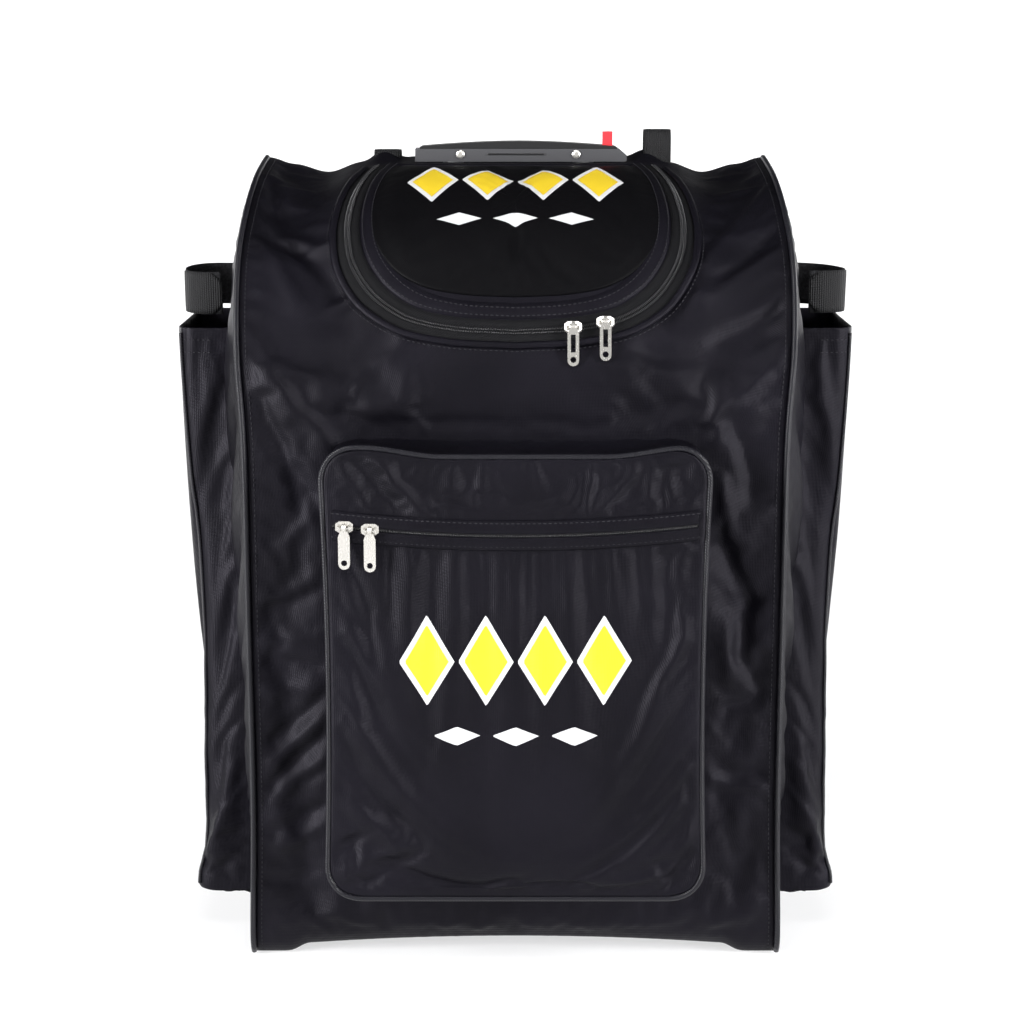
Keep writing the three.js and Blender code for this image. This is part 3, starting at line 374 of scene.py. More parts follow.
# at: share of the half width, then how much of the sag and of the rise is there
TOP_EDGE = ((0, 0, 0), (0.44, 0, 0), (0.53, 0, 1), (0.62, 0.3, 0), (0.76, 1, 0), (0.9, 0.45, 0), (1, 0, 0))
# across and down where a fold starts and ends, its width and its depth
FOLDS = ((-0.91, 0.17, -0.65, 0.31, 1, 1), (-0.92, 0.39, -0.7, 0.46, 1, -0.7),
         (0.68, 0.28, 0.97, 0.16, 0.9, -0.8), (0.68, 0.31, 0.97, 0.26, 0.8, -0.6),
         (0.75, 0.365, 0.98, 0.32, 0.9, 1), (0.76, 0.56, 0.9, 0.68, 0.8, 0.8),
         (-0.86, 0.7, -0.78, 0.92, 0.8, 0.6))


def smooth(start, end, value):
    """0 before start, 1 after end, with an easy curve in between."""
    share = np.clip((value - start) / (end - start), 0, 1)
    return share * share * (3 - 2 * share)


def length_along(path):
    """How far along a path each of its points lies."""
    return np.concatenate([[0], np.cumsum(np.linalg.norm(np.diff(path, axis=0), axis=1))])


def centripetal(points, samples=80):
    """A curve through points whose speed follows the root of each gap, and the length along it."""
    knots = np.vstack([2 * points[0] - points[1], points, 2 * points[-1] - points[-2]])
    gaps = np.sqrt(np.linalg.norm(np.diff(knots, axis=0), axis=1))
    run = []
    for i in range(1, len(knots) - 2):
        a, b, c, d = knots[i - 1:i + 3]
        before, here, after = gaps[i - 1:i + 2]
        leave = ((b - a) / before - (c - a) / (before + here) + (c - b) / here) * here
        arrive = ((c - b) / here - (d - b) / (here + after) + (d - c) / after) * here
        t = np.linspace(0, 1, samples, endpoint=False)[:, None]
        cubic = 2 * b - 2 * c + leave + arrive
        square = -3 * b + 3 * c - 2 * leave - arrive
        run.append(b + leave * t + square * t ** 2 + cubic * t ** 3)
    run = np.vstack([*run, points[-1:]])
    return run, length_along(run)


profile = np.array([(out, FRONT + back * DEPTH, up * HEIGHT) for up, back, out in SIDE_VIEW])
PROFILE, PROFILE_LENGTH = centripetal(profile)
SHEET = PROFILE_LENGTH[-1]


def along_profile(share):
    """Half width share, y and z of the sheet's side view at a share of its length, and its slope."""
    at = [np.interp(share * SHEET, PROFILE_LENGTH, PROFILE[:, i]) for i in range(3)]
    near = [np.interp((share + 0.002) * SHEET, PROFILE_LENGTH, PROFILE[:, i]) for i in (1, 2)]
    far = [np.interp((share - 0.002) * SHEET, PROFILE_LENGTH, PROFILE[:, i]) for i in (1, 2)]
    slope = np.stack([near[0] - far[0], near[1] - far[1]])
    return (*at, slope / np.linalg.norm(slope, axis=0))


def base_rise(u):
    """The underside stands on two rails with an arch between."""
    u = np.abs(u)
    return (1 - smooth(0.8, 0.87, u)) * (FOOT_RISE + BASE_ARCH * (1 - (u / 0.8) ** 2))


def top_edge(u, raised):
    """How far the top edge stands above or hangs below the corners, across the bag."""
    u = np.clip(np.abs(u), 0, 1)
    found = np.zeros_like(u)
    for (start, sag, rise), (end, next_sag, next_rise) in zip(TOP_EDGE, TOP_EDGE[1:]):
        share = smooth(start, end, u)
        lifted = (rise + (next_rise - rise) * share) * RISE * raised
        sunk = (sag + (next_sag - sag) * share) * SAG
        found = np.where((u >= start) & (u <= end), lifted - sunk, found)
    return found


def fold_depth(x, down, table, deep, wide):
    """How far a table's folds press the sheet in at each point."""
    total = np.zeros(np.broadcast(x, down).shape)
    for start_x, start_down, end_x, end_down, width, depth in table:
        start = np.array([start_x * HALF_WIDTH, start_down * SHEET])
        run = np.array([end_x * HALF_WIDTH, end_down * SHEET]) - start
        share = np.clip(((x - start[0]) * run[0] + (down - start[1]) * run[1]) / (run @ run), 0, 1)
        off = np.hypot(x - start[0] - share * run[0], down - start[1] - share * run[1]) / (width * wide)
        total += depth * deep * np.exp(-off ** 2)
    return total


def sheet_point(x, down):
    """The sheet's surface in millimetres, for arrays of distances across and down."""
    x, down = np.broadcast_arrays(np.asarray(x, float), np.asarray(down, float))
    out, y, z, slope = along_profile(np.clip(1 - down / SHEET, 0, 1))
    u, up = x / (HALF_WIDTH * out), z / HEIGHT
    lift = base_rise(u) * (1 - smooth(0, 0.1, up))
    crown = top_edge(u, smooth(0.37, 0.48, (y - MIDDLE_Y) / DEPTH)) * smooth(0.85, 0.98, up)
    bulge = FRONT_BULGE * (1 - u * u) * smooth(0.02, 0.2, up) * (1 - smooth(0.7, 0.9, up))
    fold = fold_depth(x, down, FOLDS, FOLD_DEEP, FOLD_WIDTH) * (1 - smooth(0.9, 1, np.abs(u)))
    return np.stack([x, y - bulge + slope[1] * fold, z + lift + crown - slope[0] * fold], axis=-1)


def sheet_normal(x, down):
    """The way the sheet faces, outwards."""
    step = 2.0
    across = sheet_point(x + step, down) - sheet_point(x - step, down)
    along = sheet_point(x, down + step) - sheet_point(x, down - step)
    normal = np.cross(along, across)
    return normal / np.linalg.norm(normal, axis=-1, keepdims=True)


def sheet_off(x, down, off):
    """The sheet's surface lifted along its normal."""
    return sheet_point(x, down) + sheet_normal(x, down) * np.asarray(off)[..., None]


print("the sheet is", round(SHEET), "mm long")

# %% [markdown]
# Cloth pieces are grids of quads that numpy fills. Grids that meet are welded at their shared edge, so
# that light doesn't show a crack and the cloth solver sees one piece. Each piece gets its finish in a
# material slot, and rides on one of the bodies.


def dressed(name, mesh, finish_name, body="bag"):
    """A mesh as a piece in its finish, riding on a body."""
    mesh.shade_smooth()
    piece = bpy.data.objects.new(name, mesh)
    bpy.context.collection.objects.link(piece)
    mesh.materials.clear()
    mesh.materials.append(MATERIALS[finish_name])
    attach(piece, body)
    return piece


def grid_faces(rows, columns, wraps=False):
    """The quads of a grid, by point number. One that wraps is closed across its columns."""
    index = np.arange(rows * columns).reshape(rows, columns)
    if wraps:
        index = np.hstack([index, index[:, :1]])
    quads = np.stack([index[:-1, :-1], index[:-1, 1:], index[1:, 1:], index[1:, :-1]], axis=-1)
    return quads.reshape(-1, 4)


def piece_from(name, grids, finish_name, wraps=False, weld=0.25):
    """An object from grids of points in millimetres, welded where they meet."""
    points, faces, start = [], [], 0
    for grid in grids:
        points.append(grid.reshape(-1, 3) * MM)
        faces.append(grid_faces(*grid.shape[:2], wraps) + start)
        start += grid.shape[0] * grid.shape[1]
    mesh = bpy.data.meshes.new(name)
    mesh.from_pydata(np.vstack(points).tolist(), [], np.vstack(faces).tolist())
    joined = bmesh.new()
    joined.from_mesh(mesh)
    bmesh.ops.remove_doubles(joined, verts=joined.verts, dist=weld * MM)
    bmesh.ops.recalc_face_normals(joined, faces=joined.faces)
    joined.to_mesh(mesh)
    joined.free()
    return dressed(name, mesh, finish_name)


def applied(piece):
    """Turns an object's modifiers into plain mesh."""
    view = bpy.context.evaluated_depsgraph_get()
    mesh = bpy.data.meshes.new_from_object(piece.evaluated_get(view))
    piece.modifiers.clear()
    piece.data = mesh
    mesh.shade_smooth()
    return piece


def read_points(mesh):
    """A mesh's points in millimetres."""
    flat = np.empty(len(mesh.vertices) * 3)
    mesh.vertices.foreach_get("co", flat)
    return flat.reshape(-1, 3) / MM


def write_points(mesh, points):
    """Moves a mesh's points to new places, given in millimetres."""
    mesh.vertices.foreach_set("co", (points * MM).ravel())
    mesh.update()


def softened(piece, thick=0.0):
    """One subdivision, and a wall of cloth where its edge shows."""
    if thick:
        wall = piece.modifiers.new("wall", "SOLIDIFY")
        wall.thickness, wall.offset = thick * MM, -1
    finer = piece.modifiers.new("finer", "SUBSURF")
    finer.levels = finer.render_levels = 1
    applied(piece)


# %% [markdown]
# Real folds come from having more cloth than frame: it buckles between the seams that hold it. So each
# soft piece gets a short run of Blender's cloth solver, in which the cloth grows by a few percent while
# its seams stay pinned. How far a point may move is capped, so that no fold wanders into a neighbour, and
# the result becomes plain mesh.


# %% Cloth solver
FRAMES = 22


def crumpled(piece, free, growth, cap, pressure=0.0, bending=0.6, gravity=0.4):
    """Buckles a cloth piece. free is 0 where a vertex is held and 1 where it may move."""
    before = read_points(piece.data)
    held = piece.vertex_groups.new(name="held")
    for i, value in enumerate(1 - np.clip(free, 0, 1)):
        held.add([i], float(value), "REPLACE")
    cloth = piece.modifiers.new("cloth", "CLOTH")
    settings = cloth.settings
    settings.quality = 6
    settings.mass = 0.25
    settings.tension_stiffness = settings.compression_stiffness = 18
    settings.shear_stiffness = 8
    settings.bending_stiffness = bending
    settings.tension_damping = settings.compression_damping = 12
    settings.shear_damping = 12
    settings.bending_damping = 1.5
    settings.vertex_group_mass = "held"
    settings.pin_stiffness = 4
    settings.shrink_min = -growth
    settings.effector_weights.gravity = gravity
    if pressure:
        settings.use_pressure = True
        settings.uniform_pressure_force = pressure
    cloth.collision_settings.use_collision = False
    cloth.collision_settings.use_self_collision = False
    cloth.point_cache.frame_end = FRAMES
    scene = bpy.context.scene
    for frame_number in range(1, FRAMES + 1):
        scene.frame_set(frame_number)
    after = read_points(applied(piece).data)
    scene.frame_set(1)
    moved = after - before
    length = np.linalg.norm(moved, axis=1, keepdims=True)
    limit = cap * np.tanh(length / cap)
    write_points(piece.data, before + moved * limit / np.maximum(length, 1e-9))
    piece.vertex_groups.clear()
    print(piece.name, "moved up to", round(float(limit.max()), 1), "mm")


# %% [markdown]
# A crease is easiest to find in a photograph: one notes the pixels where it starts and ends. The camera
# of this scene stands where the photograph's stood, so a pixel has one ray, and the ray meets the cloth
# in one place. For the pocket's face an upright plane is near enough.

# %% From the picture to the cloth
TILT = math.radians(CAMERA_TILT)
CAMERA_MM = np.array(CAMERA_PLACE) / MM


def on_wall(across, down, wall_y):
    """Where a pixel's ray meets an upright plane: millimetres across and up."""
    side, up = (across - PICTURE / 2) / FOCAL_PIXELS, (PICTURE / 2 - down) / FOCAL_PIXELS
    ray = np.array([side, math.cos(TILT) + up * math.sin(TILT), up * math.cos(TILT) - math.sin(TILT)])
    met = CAMERA_MM + ray * (wall_y - CAMERA_MM[1]) / ray[1]
    return round(met[0]), round(met[2])


print("the camera stands at", CAMERA_MM, "mm")

# %% [markdown]
# The body is the sheet, a side panel each side that swells past the seam, a flat back and a base. Its
# cloth is held where something is sewn to it and free elsewhere. Small creases go in before the solver,
# so that chance only adds to them.

# %% Body cloth
COLUMNS, ROWS, SIDE_COLUMNS = 81, 151, 36
SIDE_BULGE, SIDE_EDGE = 20.0, 52.0
CREASE_DEEP, CREASE_WIDTH = 4.2, 9.0
columns = np.linspace(-1, 1, COLUMNS)
shares = np.linspace(0, 1, ROWS)
# across and down where a crease starts and ends, its width and its depth
CREASES = (
    (-0.97, 0.098, -0.84, 0.221, 0.9, 0.9), (-0.84, 0.221, -0.65, 0.290, 0.9, 0.8),
    (-0.95, 0.224, -0.80, 0.302, 0.8, -0.7), (-0.91, 0.378, -0.70, 0.445, 1.1, -0.9),
    (-0.93, 0.405, -0.80, 0.505, 1.0, 0.9), (-0.80, 0.475, -0.72, 0.521, 0.7, 0.5),
    (-0.92, 0.621, -0.72, 0.598, 0.7, 0.8), (-0.93, 0.651, -0.72, 0.646, 0.6, -0.6),
    (-0.93, 0.674, -0.73, 0.678, 0.55, 1.0), (-0.93, 0.704, -0.73, 0.703, 0.7, -0.5),
    (-0.92, 0.760, -0.71, 0.706, 0.6, 1.1), (-0.92, 0.783, -0.72, 0.731, 0.55, -0.8),
    (-0.93, 0.807, -0.72, 0.751, 0.6, 1.1), (-0.91, 0.822, -0.72, 0.776, 0.5, -0.7),
    (-0.82, 0.802, -0.72, 0.789, 0.45, 0.8), (-0.93, 0.857, -0.73, 0.828, 0.7, 0.9),
    (-0.90, 0.877, -0.71, 0.846, 0.7, -0.5), (-0.95, 0.910, -0.83, 0.913, 0.6, 0.5),
    (0.69, 0.259, 1.00, 0.118, 0.7, -0.8), (0.73, 0.285, 1.01, 0.200, 0.6, 0.7),
    (0.68, 0.297, 1.03, 0.231, 0.7, -0.7), (0.74, 0.344, 1.02, 0.303, 0.8, 0.9),
    (0.75, 0.377, 0.90, 0.354, 0.9, -0.5), (0.75, 0.385, 0.74, 0.445, 0.8, -0.9),
    (0.81, 0.425, 0.89, 0.506, 1.0, 0.9), (0.76, 0.485, 0.81, 0.547, 0.6, -0.8),
    (0.77, 0.553, 0.87, 0.610, 0.8, 1.0), (0.87, 0.610, 0.85, 0.673, 0.6, 1.2),
    (0.85, 0.673, 0.92, 0.704, 0.5, 1.0), (0.80, 0.631, 0.81, 0.693, 0.7, -0.7),
    (0.80, 0.722, 0.91, 0.715, 0.6, 0.7), (0.78, 0.789, 0.93, 0.794, 0.6, 0.8),
    (0.75, 0.802, 0.94, 0.809, 0.5, -0.7), (-0.68, 0.357, -0.35, 0.349, 0.9, 0.5),
    (0.17, 0.353, 0.68, 0.357, 1.0, 0.6), (-0.50, 0.405, 0.17, 0.400, 1.4, -0.3),
)


def front_sheet():
    """The creased sheet as a grid, from the foot up."""
    out = along_profile(shares)[0]
    x = columns[None, :] * HALF_WIDTH * out[:, None]
    down = np.broadcast_to(SHEET * (1 - shares)[:, None], x.shape)
    deep = fold_depth(x, down, CREASES, CREASE_DEEP, CREASE_WIDTH)
    return sheet_off(x, down, -deep * (1 - smooth(0.93, 1, np.abs(columns)))[None, :])


def fullness(z):
    """How far a side panel swells at a height."""
    return SIDE_BULGE * (0.3 + 0.7 * smooth(0, 0.6, z / HEIGHT))


def side_panel(edge, side):
    """Level rows from the seam back to the rear edge, swelling with distance from the nearest seam."""
    t = np.linspace(0, 1, SIDE_COLUMNS)[None, :, None]
    x = side * HALF_WIDTH
    rear = np.stack([np.full(ROWS, x), np.full(ROWS, REAR), np.minimum(edge[:, 2], HEIGHT)], 1)
    flat = edge[:, None, :] * (1 - t) + rear[:, None, :] * t
    around = np.vstack([edge, rear, [[x, y, 0] for y in np.linspace(FRONT, REAR, 40)]])
    gap = np.min(np.linalg.norm(flat[:, :, None, 1:] - around[None, None, :, 1:], axis=-1), axis=-1)
    swell = (1 - (1 - np.clip(gap / SIDE_EDGE, 0, 1)) ** 2.2) * 0.95
    flat[:, :, 0] += side * fullness(flat[:, :, 2]) * swell
    return flat


def body_cloth():
    """Sheet, sides, base and back, welded into one piece."""
    sheet = front_sheet()
    foot, top = sheet[0], sheet[-1]
    t = np.linspace(0, 1, 31)[:, None, None]
    rear_foot = np.stack([foot[:, 0], np.full(COLUMNS, REAR), foot[:, 2]], 1)
    base = foot[None] * (1 - t) + rear_foot[None] * t
    back = rear_foot[None] * (1 - t) + top[None] * t
    sides = [side_panel(sheet[:, i], side) for i, side in ((0, -1), (-1, 1))]
    return piece_from("body_cloth", [sheet, *sides, base, back], "black_nylon")


def cut_box(piece, low, high):
    """Opens a mesh inside a box, with clean edges."""
    mesh = bmesh.new()
    mesh.from_mesh(piece.data)
    for axis in range(3):
        for value in (low[axis], high[axis]):
            normal = [float(i == axis) for i in range(3)]
            place = [value * MM if i == axis else 0 for i in range(3)]
            near = [f for f in mesh.faces if all(
                low[i] - 20 < v.co[i] / MM < high[i] + 20 for v in f.verts for i in range(3))]
            corners = list({v for f in near for v in f.verts})
            edges = list({e for f in near for e in f.edges})
            bmesh.ops.bisect_plane(mesh, geom=corners + edges + near, plane_co=place, plane_no=normal,
                                   dist=1e-6)
    inside = [f for f in mesh.faces if all(
        low[i] < f.calc_center_median()[i] / MM < high[i] for i in range(3))]
    bmesh.ops.delete(mesh, geom=inside, context="FACES")
    mesh.to_mesh(piece.data)
    mesh.free()


body = body_cloth()
points = read_points(body.data)
print("body cloth:", len(points), "points")

# %% Body cloth folds and openings
# the pocket's half width, its middle's height and half its height
POCKET_HALF, POCKET_MIDDLE, POCKET_TALL = 167.0, 279.0, 203.0
# half the width that the lid's zip runs round, how far down the sheet it ends, half its own width, its hinge
ZIP_LINE, ZIP_END, ZIP_HALF, HINGE = 150.0, 294.0, 11.0, 44.0
# the half oval of body cloth under the lid: how far past the zip it reaches, where it starts and its length
LID_MARGIN, LID_BACK, LID_LONG = 22.0, 30.0, 232.0
# the holes for the wheel housings and the handle's housing
WHEEL_NEAR, WHEEL_FAR, WHEEL_FRONT, WHEEL_TOP = 137.6, 206.4, 70.6, 86.4
HANDLE_LOW, HANDLE_HIGH = (-84, 104, 696), (92, REAR - 0.5, 740)


def body_freedom(points):
    """1 where the body cloth hangs free, 0 at seams and under what is sewn on."""
    x, y, z = points.T
    rear = smooth(0, 30, REAR - y)
    foot = smooth(4, 40, z)
    front = (y < FRONT + 40) & (np.abs(x) < HALF_WIDTH * 1.02)
    beside = np.maximum(np.abs(x) - POCKET_HALF, 0)
    above = np.maximum(np.abs(z - POCKET_MIDDLE) - POCKET_TALL, 0)
    under_pocket = np.where(front & (z < 500), smooth(0, 14, np.hypot(beside, above)), 1)
    u = np.abs(x) / (HALF_WIDTH * np.interp(z / HEIGHT, PROFILE[:, 2] / HEIGHT, PROFILE[:, 0]))
    seam = np.where(u < 1.001, smooth(0, 0.07, 1 - u), smooth(0, 0.05, u - 1))
    lid = np.hypot(x / (ZIP_LINE + LID_MARGIN), np.clip((REAR - LID_BACK - y) / LID_LONG, 0, 9)) - 1
    over = np.where((z > 500) & (np.abs(x) < HALF_WIDTH * 0.99), smooth(0, 0.16, lid), 1)
    return rear * foot * under_pocket * np.clip(seam, 0.0, 1) * over


crumpled(body, body_freedom(points), growth=0.03, cap=7)
for side in (-1, 1):
    near, far = sorted((side * WHEEL_NEAR, side * WHEEL_FAR))
    cut_box(body, (near, WHEEL_FRONT, -5), (far, 140, WHEEL_TOP))
cut_box(body, HANDLE_LOW, HANDLE_HIGH)
softened(body)
print("body faces:", len(body.data.polygons))
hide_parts("main_body", "body_top")

# %% [markdown]
# Cords, straps and rims are all one section swept along a path, so one function makes them. The section
# is an oval, squared off for webbing, and it turns with the surface that the path lies on. Threads and
# zip teeth are the other thing that repeats: small beads set out along a path.


# %% Sweeps and beads
def unit(vectors):
    """The same ways, each one long."""
    return vectors / np.maximum(np.linalg.norm(vectors, axis=-1, keepdims=True), 1e-12)


def spaced(path, step, *carried):
    """A path's points at even steps, with whatever else is given at each point carried along."""
    length = length_along(path)
    at = np.linspace(0, length[-1], max(int(length[-1] / step), 2) + 1)
    return [np.stack([np.interp(at, length, column) for column in values.T], axis=1)
            for values in (path, *carried)]


def swept(path, faces, wide, high, sides=10, closed=False, square=1.0):
    """Rings of a section along a path. faces says which way each ring's top looks."""
    path, faces = np.asarray(path, float), np.broadcast_to(np.asarray(faces, float), np.shape(path))
    wide, high = (np.broadcast_to(np.asarray(size, float), len(path)) for size in (wide, high))
    if closed:
        along = unit(np.roll(path, -1, axis=0) - np.roll(path, 1, axis=0))
    else:
        along = unit(np.gradient(path, axis=0))
    across = unit(np.cross(along, faces))
    top = unit(np.cross(across, along))
    turn = np.linspace(0, 2 * math.pi, sides, endpoint=False)
    cos, sin = (np.sign(v) * np.abs(v) ** square for v in (np.cos(turn), np.sin(turn)))
    rings = (path[:, None] + across[:, None] * (cos[:, None] * wide[:, None, None] / 2)
             + top[:, None] * (sin[:, None] * high[:, None, None] / 2))
    if closed:
        return np.concatenate([rings, rings[:1]])
    ends = [np.repeat(p[None, None], sides, axis=1) for p in (path[0], path[-1])]
    return np.concatenate([ends[0], rings, ends[1]])


BEAD = np.array([(0, 0, 1), (0, 0, -1), (1, 0, 0), (-1, 0, 0), (0, 1, 0), (0, -1, 0),
                 (0.6, 0.6, 0.6), (-0.6, 0.6, 0.6), (-0.6, -0.6, 0.6), (0.6, -0.6, 0.6),
                 (0.6, 0.6, -0.6), (-0.6, 0.6, -0.6), (-0.6, -0.6, -0.6), (0.6, -0.6, -0.6)])
BEAD_FACES = np.array([(0, 9, 6), (0, 6, 7), (0, 7, 8), (0, 8, 9), (1, 10, 13), (1, 11, 10), (1, 12, 11),
                       (1, 13, 12), (2, 6, 9), (2, 10, 6), (2, 13, 10), (2, 9, 13), (3, 8, 7), (3, 7, 11),
                       (3, 11, 12), (3, 12, 8), (4, 7, 6), (4, 6, 10), (4, 10, 11), (4, 11, 7), (5, 9, 8),
                       (5, 8, 12), (5, 12, 13), (5, 13, 9)])


def beads(name, centres, along, faces, size, finish_name):
    """Small rounded pieces in one mesh: size is their length, width and height."""
    along, faces = unit(along), unit(faces)
    across = unit(np.cross(along, faces))
    local = BEAD * (np.asarray(size) / 2)
    axes = np.stack([along, across, faces], axis=1)
    points = centres[:, None] + np.einsum("pk,nkc->npc", local, axes)
    triangles = (BEAD_FACES[None] + np.arange(len(centres))[:, None, None] * len(BEAD)).reshape(-1, 3)
    mesh = bpy.data.meshes.new(name)
    mesh.from_pydata((points.reshape(-1, 3) * MM).tolist(), [], triangles.tolist())
    dressed(name, mesh, finish_name)


def stitches(name, path, faces):
    """A row of thread along a path on cloth: stitches of 3 mm, 1.5 mm apart."""
    centres, tops = spaced(path, 4.5, np.broadcast_to(faces, path.shape))
    beads(name, centres, np.gradient(centres, axis=0), tops, (3.0, 0.9, 0.7), "thread")


# %% [markdown]
# The lid is a tongue of the sheet. From outside in it has a turned edge, a zip, a flat border with two
# rows of stitches, and a stuffed panel. Every line is one outline drawn larger or smaller, laid on the
# sheet. The panel is blown up by the cloth solver's pressure, and its rim is held where it is sewn.

# %% Lid outlines
# down: share of the lid's length, out: share of its half width
LID_SHAPE = ((0, 0.87), (0.16, 0.93), (0.36, 0.985), (0.56, 1), (0.73, 0.955), (0.86, 0.83), (0.945, 0.64),
             (0.985, 0.38), (1, 0))
PAD_HALF, PAD_HINGE, PAD_END = 131.0, 54.0, 262.0


def lid_line(half, hinge, end, count=60):
    """Across and down for points from the hinge's right end round the front to its left end."""
    corners = [(out * half, hinge + down * (end - hinge)) for down, out in LID_SHAPE]
    run, length = centripetal(np.array(corners))
    at = np.linspace(0, length[-1], count + 1)
    right = np.stack([np.interp(at, length, run[:, i]) for i in (0, 1)], axis=1)
    return np.vstack([right, (right * (-1, 1))[-2::-1]])


def lid_loop(half, hinge, end, count=60, back=30):
    """The same outline closed along the hinge."""
    line = lid_line(half, hinge, end, count)
    across = np.linspace(line[-1, 0], line[0, 0], back + 1)[1:-1]
    return np.vstack([line, np.stack([across, np.full(back - 1, hinge)], axis=1)])


def raised(line, high):
    """A line on the sheet, given across and down, lifted off it by one height."""
    return sheet_off(line[:, 0], line[:, 1], np.full(len(line), high))


def sheet_facing(line):
    """The way the sheet faces at each point of a line."""
    return sheet_normal(line[:, 0], line[:, 1])


def lid_strip(outlines, heights):
    """A grid laid on the sheet from one outline to the next, each at its height."""
    return np.stack([raised(line, high) for line, high in zip(outlines, heights)], axis=1)


def lid_grow(margin):
    """The zip line's outline grown by a margin, or drawn in by a negative one."""
    return ZIP_LINE + margin, HINGE + 1.2, ZIP_END + margin


print("the lid is", round(ZIP_END - HINGE), "mm long")

# %% Lid zip and border
edge_line = lid_line(*lid_grow(ZIP_HALF + 1.5), 90)
piece_from("lid_edge", [swept(raised(edge_line, 1.0), sheet_facing(edge_line), 6.5, 4.4)], "black_nylon",
           wraps=True)
# lines along the tape and the border: how far out from the zip, and how high above the sheet
TAPE = ((11.5, -1.2), (10.5, 0.3), (6, 0.5), (2, 0.2), (-2, 0.2), (-6, 0.5), (-10.5, 0.3), (-11.5, -1.2))
BORDER = ((-11.4, -1.6), (-11.9, 0.2), (-13, 1.6), (-15, 2.2), (-18, 2.3), (-21, 2.2), (-24, 1.8),
          (-27, 0.2))
tape_lines = [lid_line(*lid_grow(margin), 90) for margin, _ in TAPE]
lid_tape = piece_from("lid_zip_tape", [lid_strip(tape_lines, [high for _, high in TAPE])], "zip_tape")
for name, margin, shift in (("outer", 1.4, 0.0), ("inner", -1.4, 0.5)):
    line = lid_line(*lid_grow(margin), 200)
    spots, tops = spaced(raised(line, 1.1), 1.5, sheet_facing(line))
    spots = spots[:-1] + np.diff(spots, axis=0) * shift
    tops = tops[:-1]
    side_on = np.cross(np.gradient(spots, axis=0), tops)
    beads("lid_zip_teeth_" + name, spots, side_on, tops, (3.2, 0.95, 1.5), "zip_coil")
border_lines = []
for margin, _ in BORDER:
    line = lid_loop(ZIP_LINE + margin, HINGE + 1.2 - 0.35 * (margin + 11), ZIP_END + margin)
    border_lines.append(np.vstack([line, line[:1]]))
lid_border = piece_from("lid_border_cloth", [lid_strip(border_lines, [high for _, high in BORDER])],
                        "black_nylon")
for name, margin, high in (("0", -13.6, 2.35), ("1", -21.5, 2.35), ("edge", ZIP_HALF + 6.5, 0.3)):
    line = lid_line(*lid_grow(margin), 90)
    label = "lid_edge_stitches" if name == "edge" else "lid_stitches_" + name
    stitches(label, raised(line, high), sheet_facing(line))
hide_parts("lid_zip")
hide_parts("lid_border")
print("lid edge:", len(edge_line), "points")

# %% Lid pad
PAD_RISE = 8.0
rings = np.concatenate([[1.0, 0.995, 0.975, 0.945], np.linspace(0.9, 0, 20)])
pad_loop = lid_loop(PAD_HALF - 0.8, PAD_HINGE + 0.8, PAD_END - 0.8, 50, 26)
pad_middle = np.array([0, pad_loop[:, 1].mean()])
pad_heights = np.where(rings > 0.999, 0.2, 2.0 + PAD_RISE * (1 - rings ** 3.2))
pad_lines = [pad_middle + (np.vstack([pad_loop, pad_loop[:1]]) - pad_middle) * share for share in rings]
lid_pad = piece_from("lid_pad_cloth", [lid_strip(pad_lines, pad_heights)], "pad_nylon")
pad_seam = lid_strip([pad_loop], [0.2])[:, 0]
from_seam = np.linalg.norm(read_points(lid_pad.data)[:, None] - pad_seam[None], axis=-1).min(axis=1)
crumpled(lid_pad, smooth(1.5, 16, from_seam), growth=0.012, cap=4.0, pressure=1.6, gravity=0.0, bending=1.5)
softened(lid_pad)
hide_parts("lid_pad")
print("lid pad:", len(lid_pad.data.polygons), "faces")

# %% [markdown]
# The front pocket is a shallow box of the same nylon, pinched in at its middle and corded all round its
# front edge. Rows of points run from side to side and shorten in the rounded corners, so the whole face
# is one clean grid, and its rim runs back as the pocket's walls. The cloth is slack: it is the most
# creased part of the bag. Its creases are found in the picture, by the pixels
# where each one starts and ends.

# %% Pocket cloth
POCKET_DEEP = 50.0
POCKET_FRONT = FRONT - POCKET_DEEP
CORNER, PINCH, POCKET_BULGE, POCKET_SAG = 30.0, 5.0, 9.0, 8.0
POCKET_ZIP, ZIP_BOW, ZIP_REACH = 408.0, 8.0, 156.0
# how much deeper the creases are made than they look, and where the bulging face stands on average
POCKET_CREASE_DEEP, POCKET_FACE_Y = 1.35, -181.0
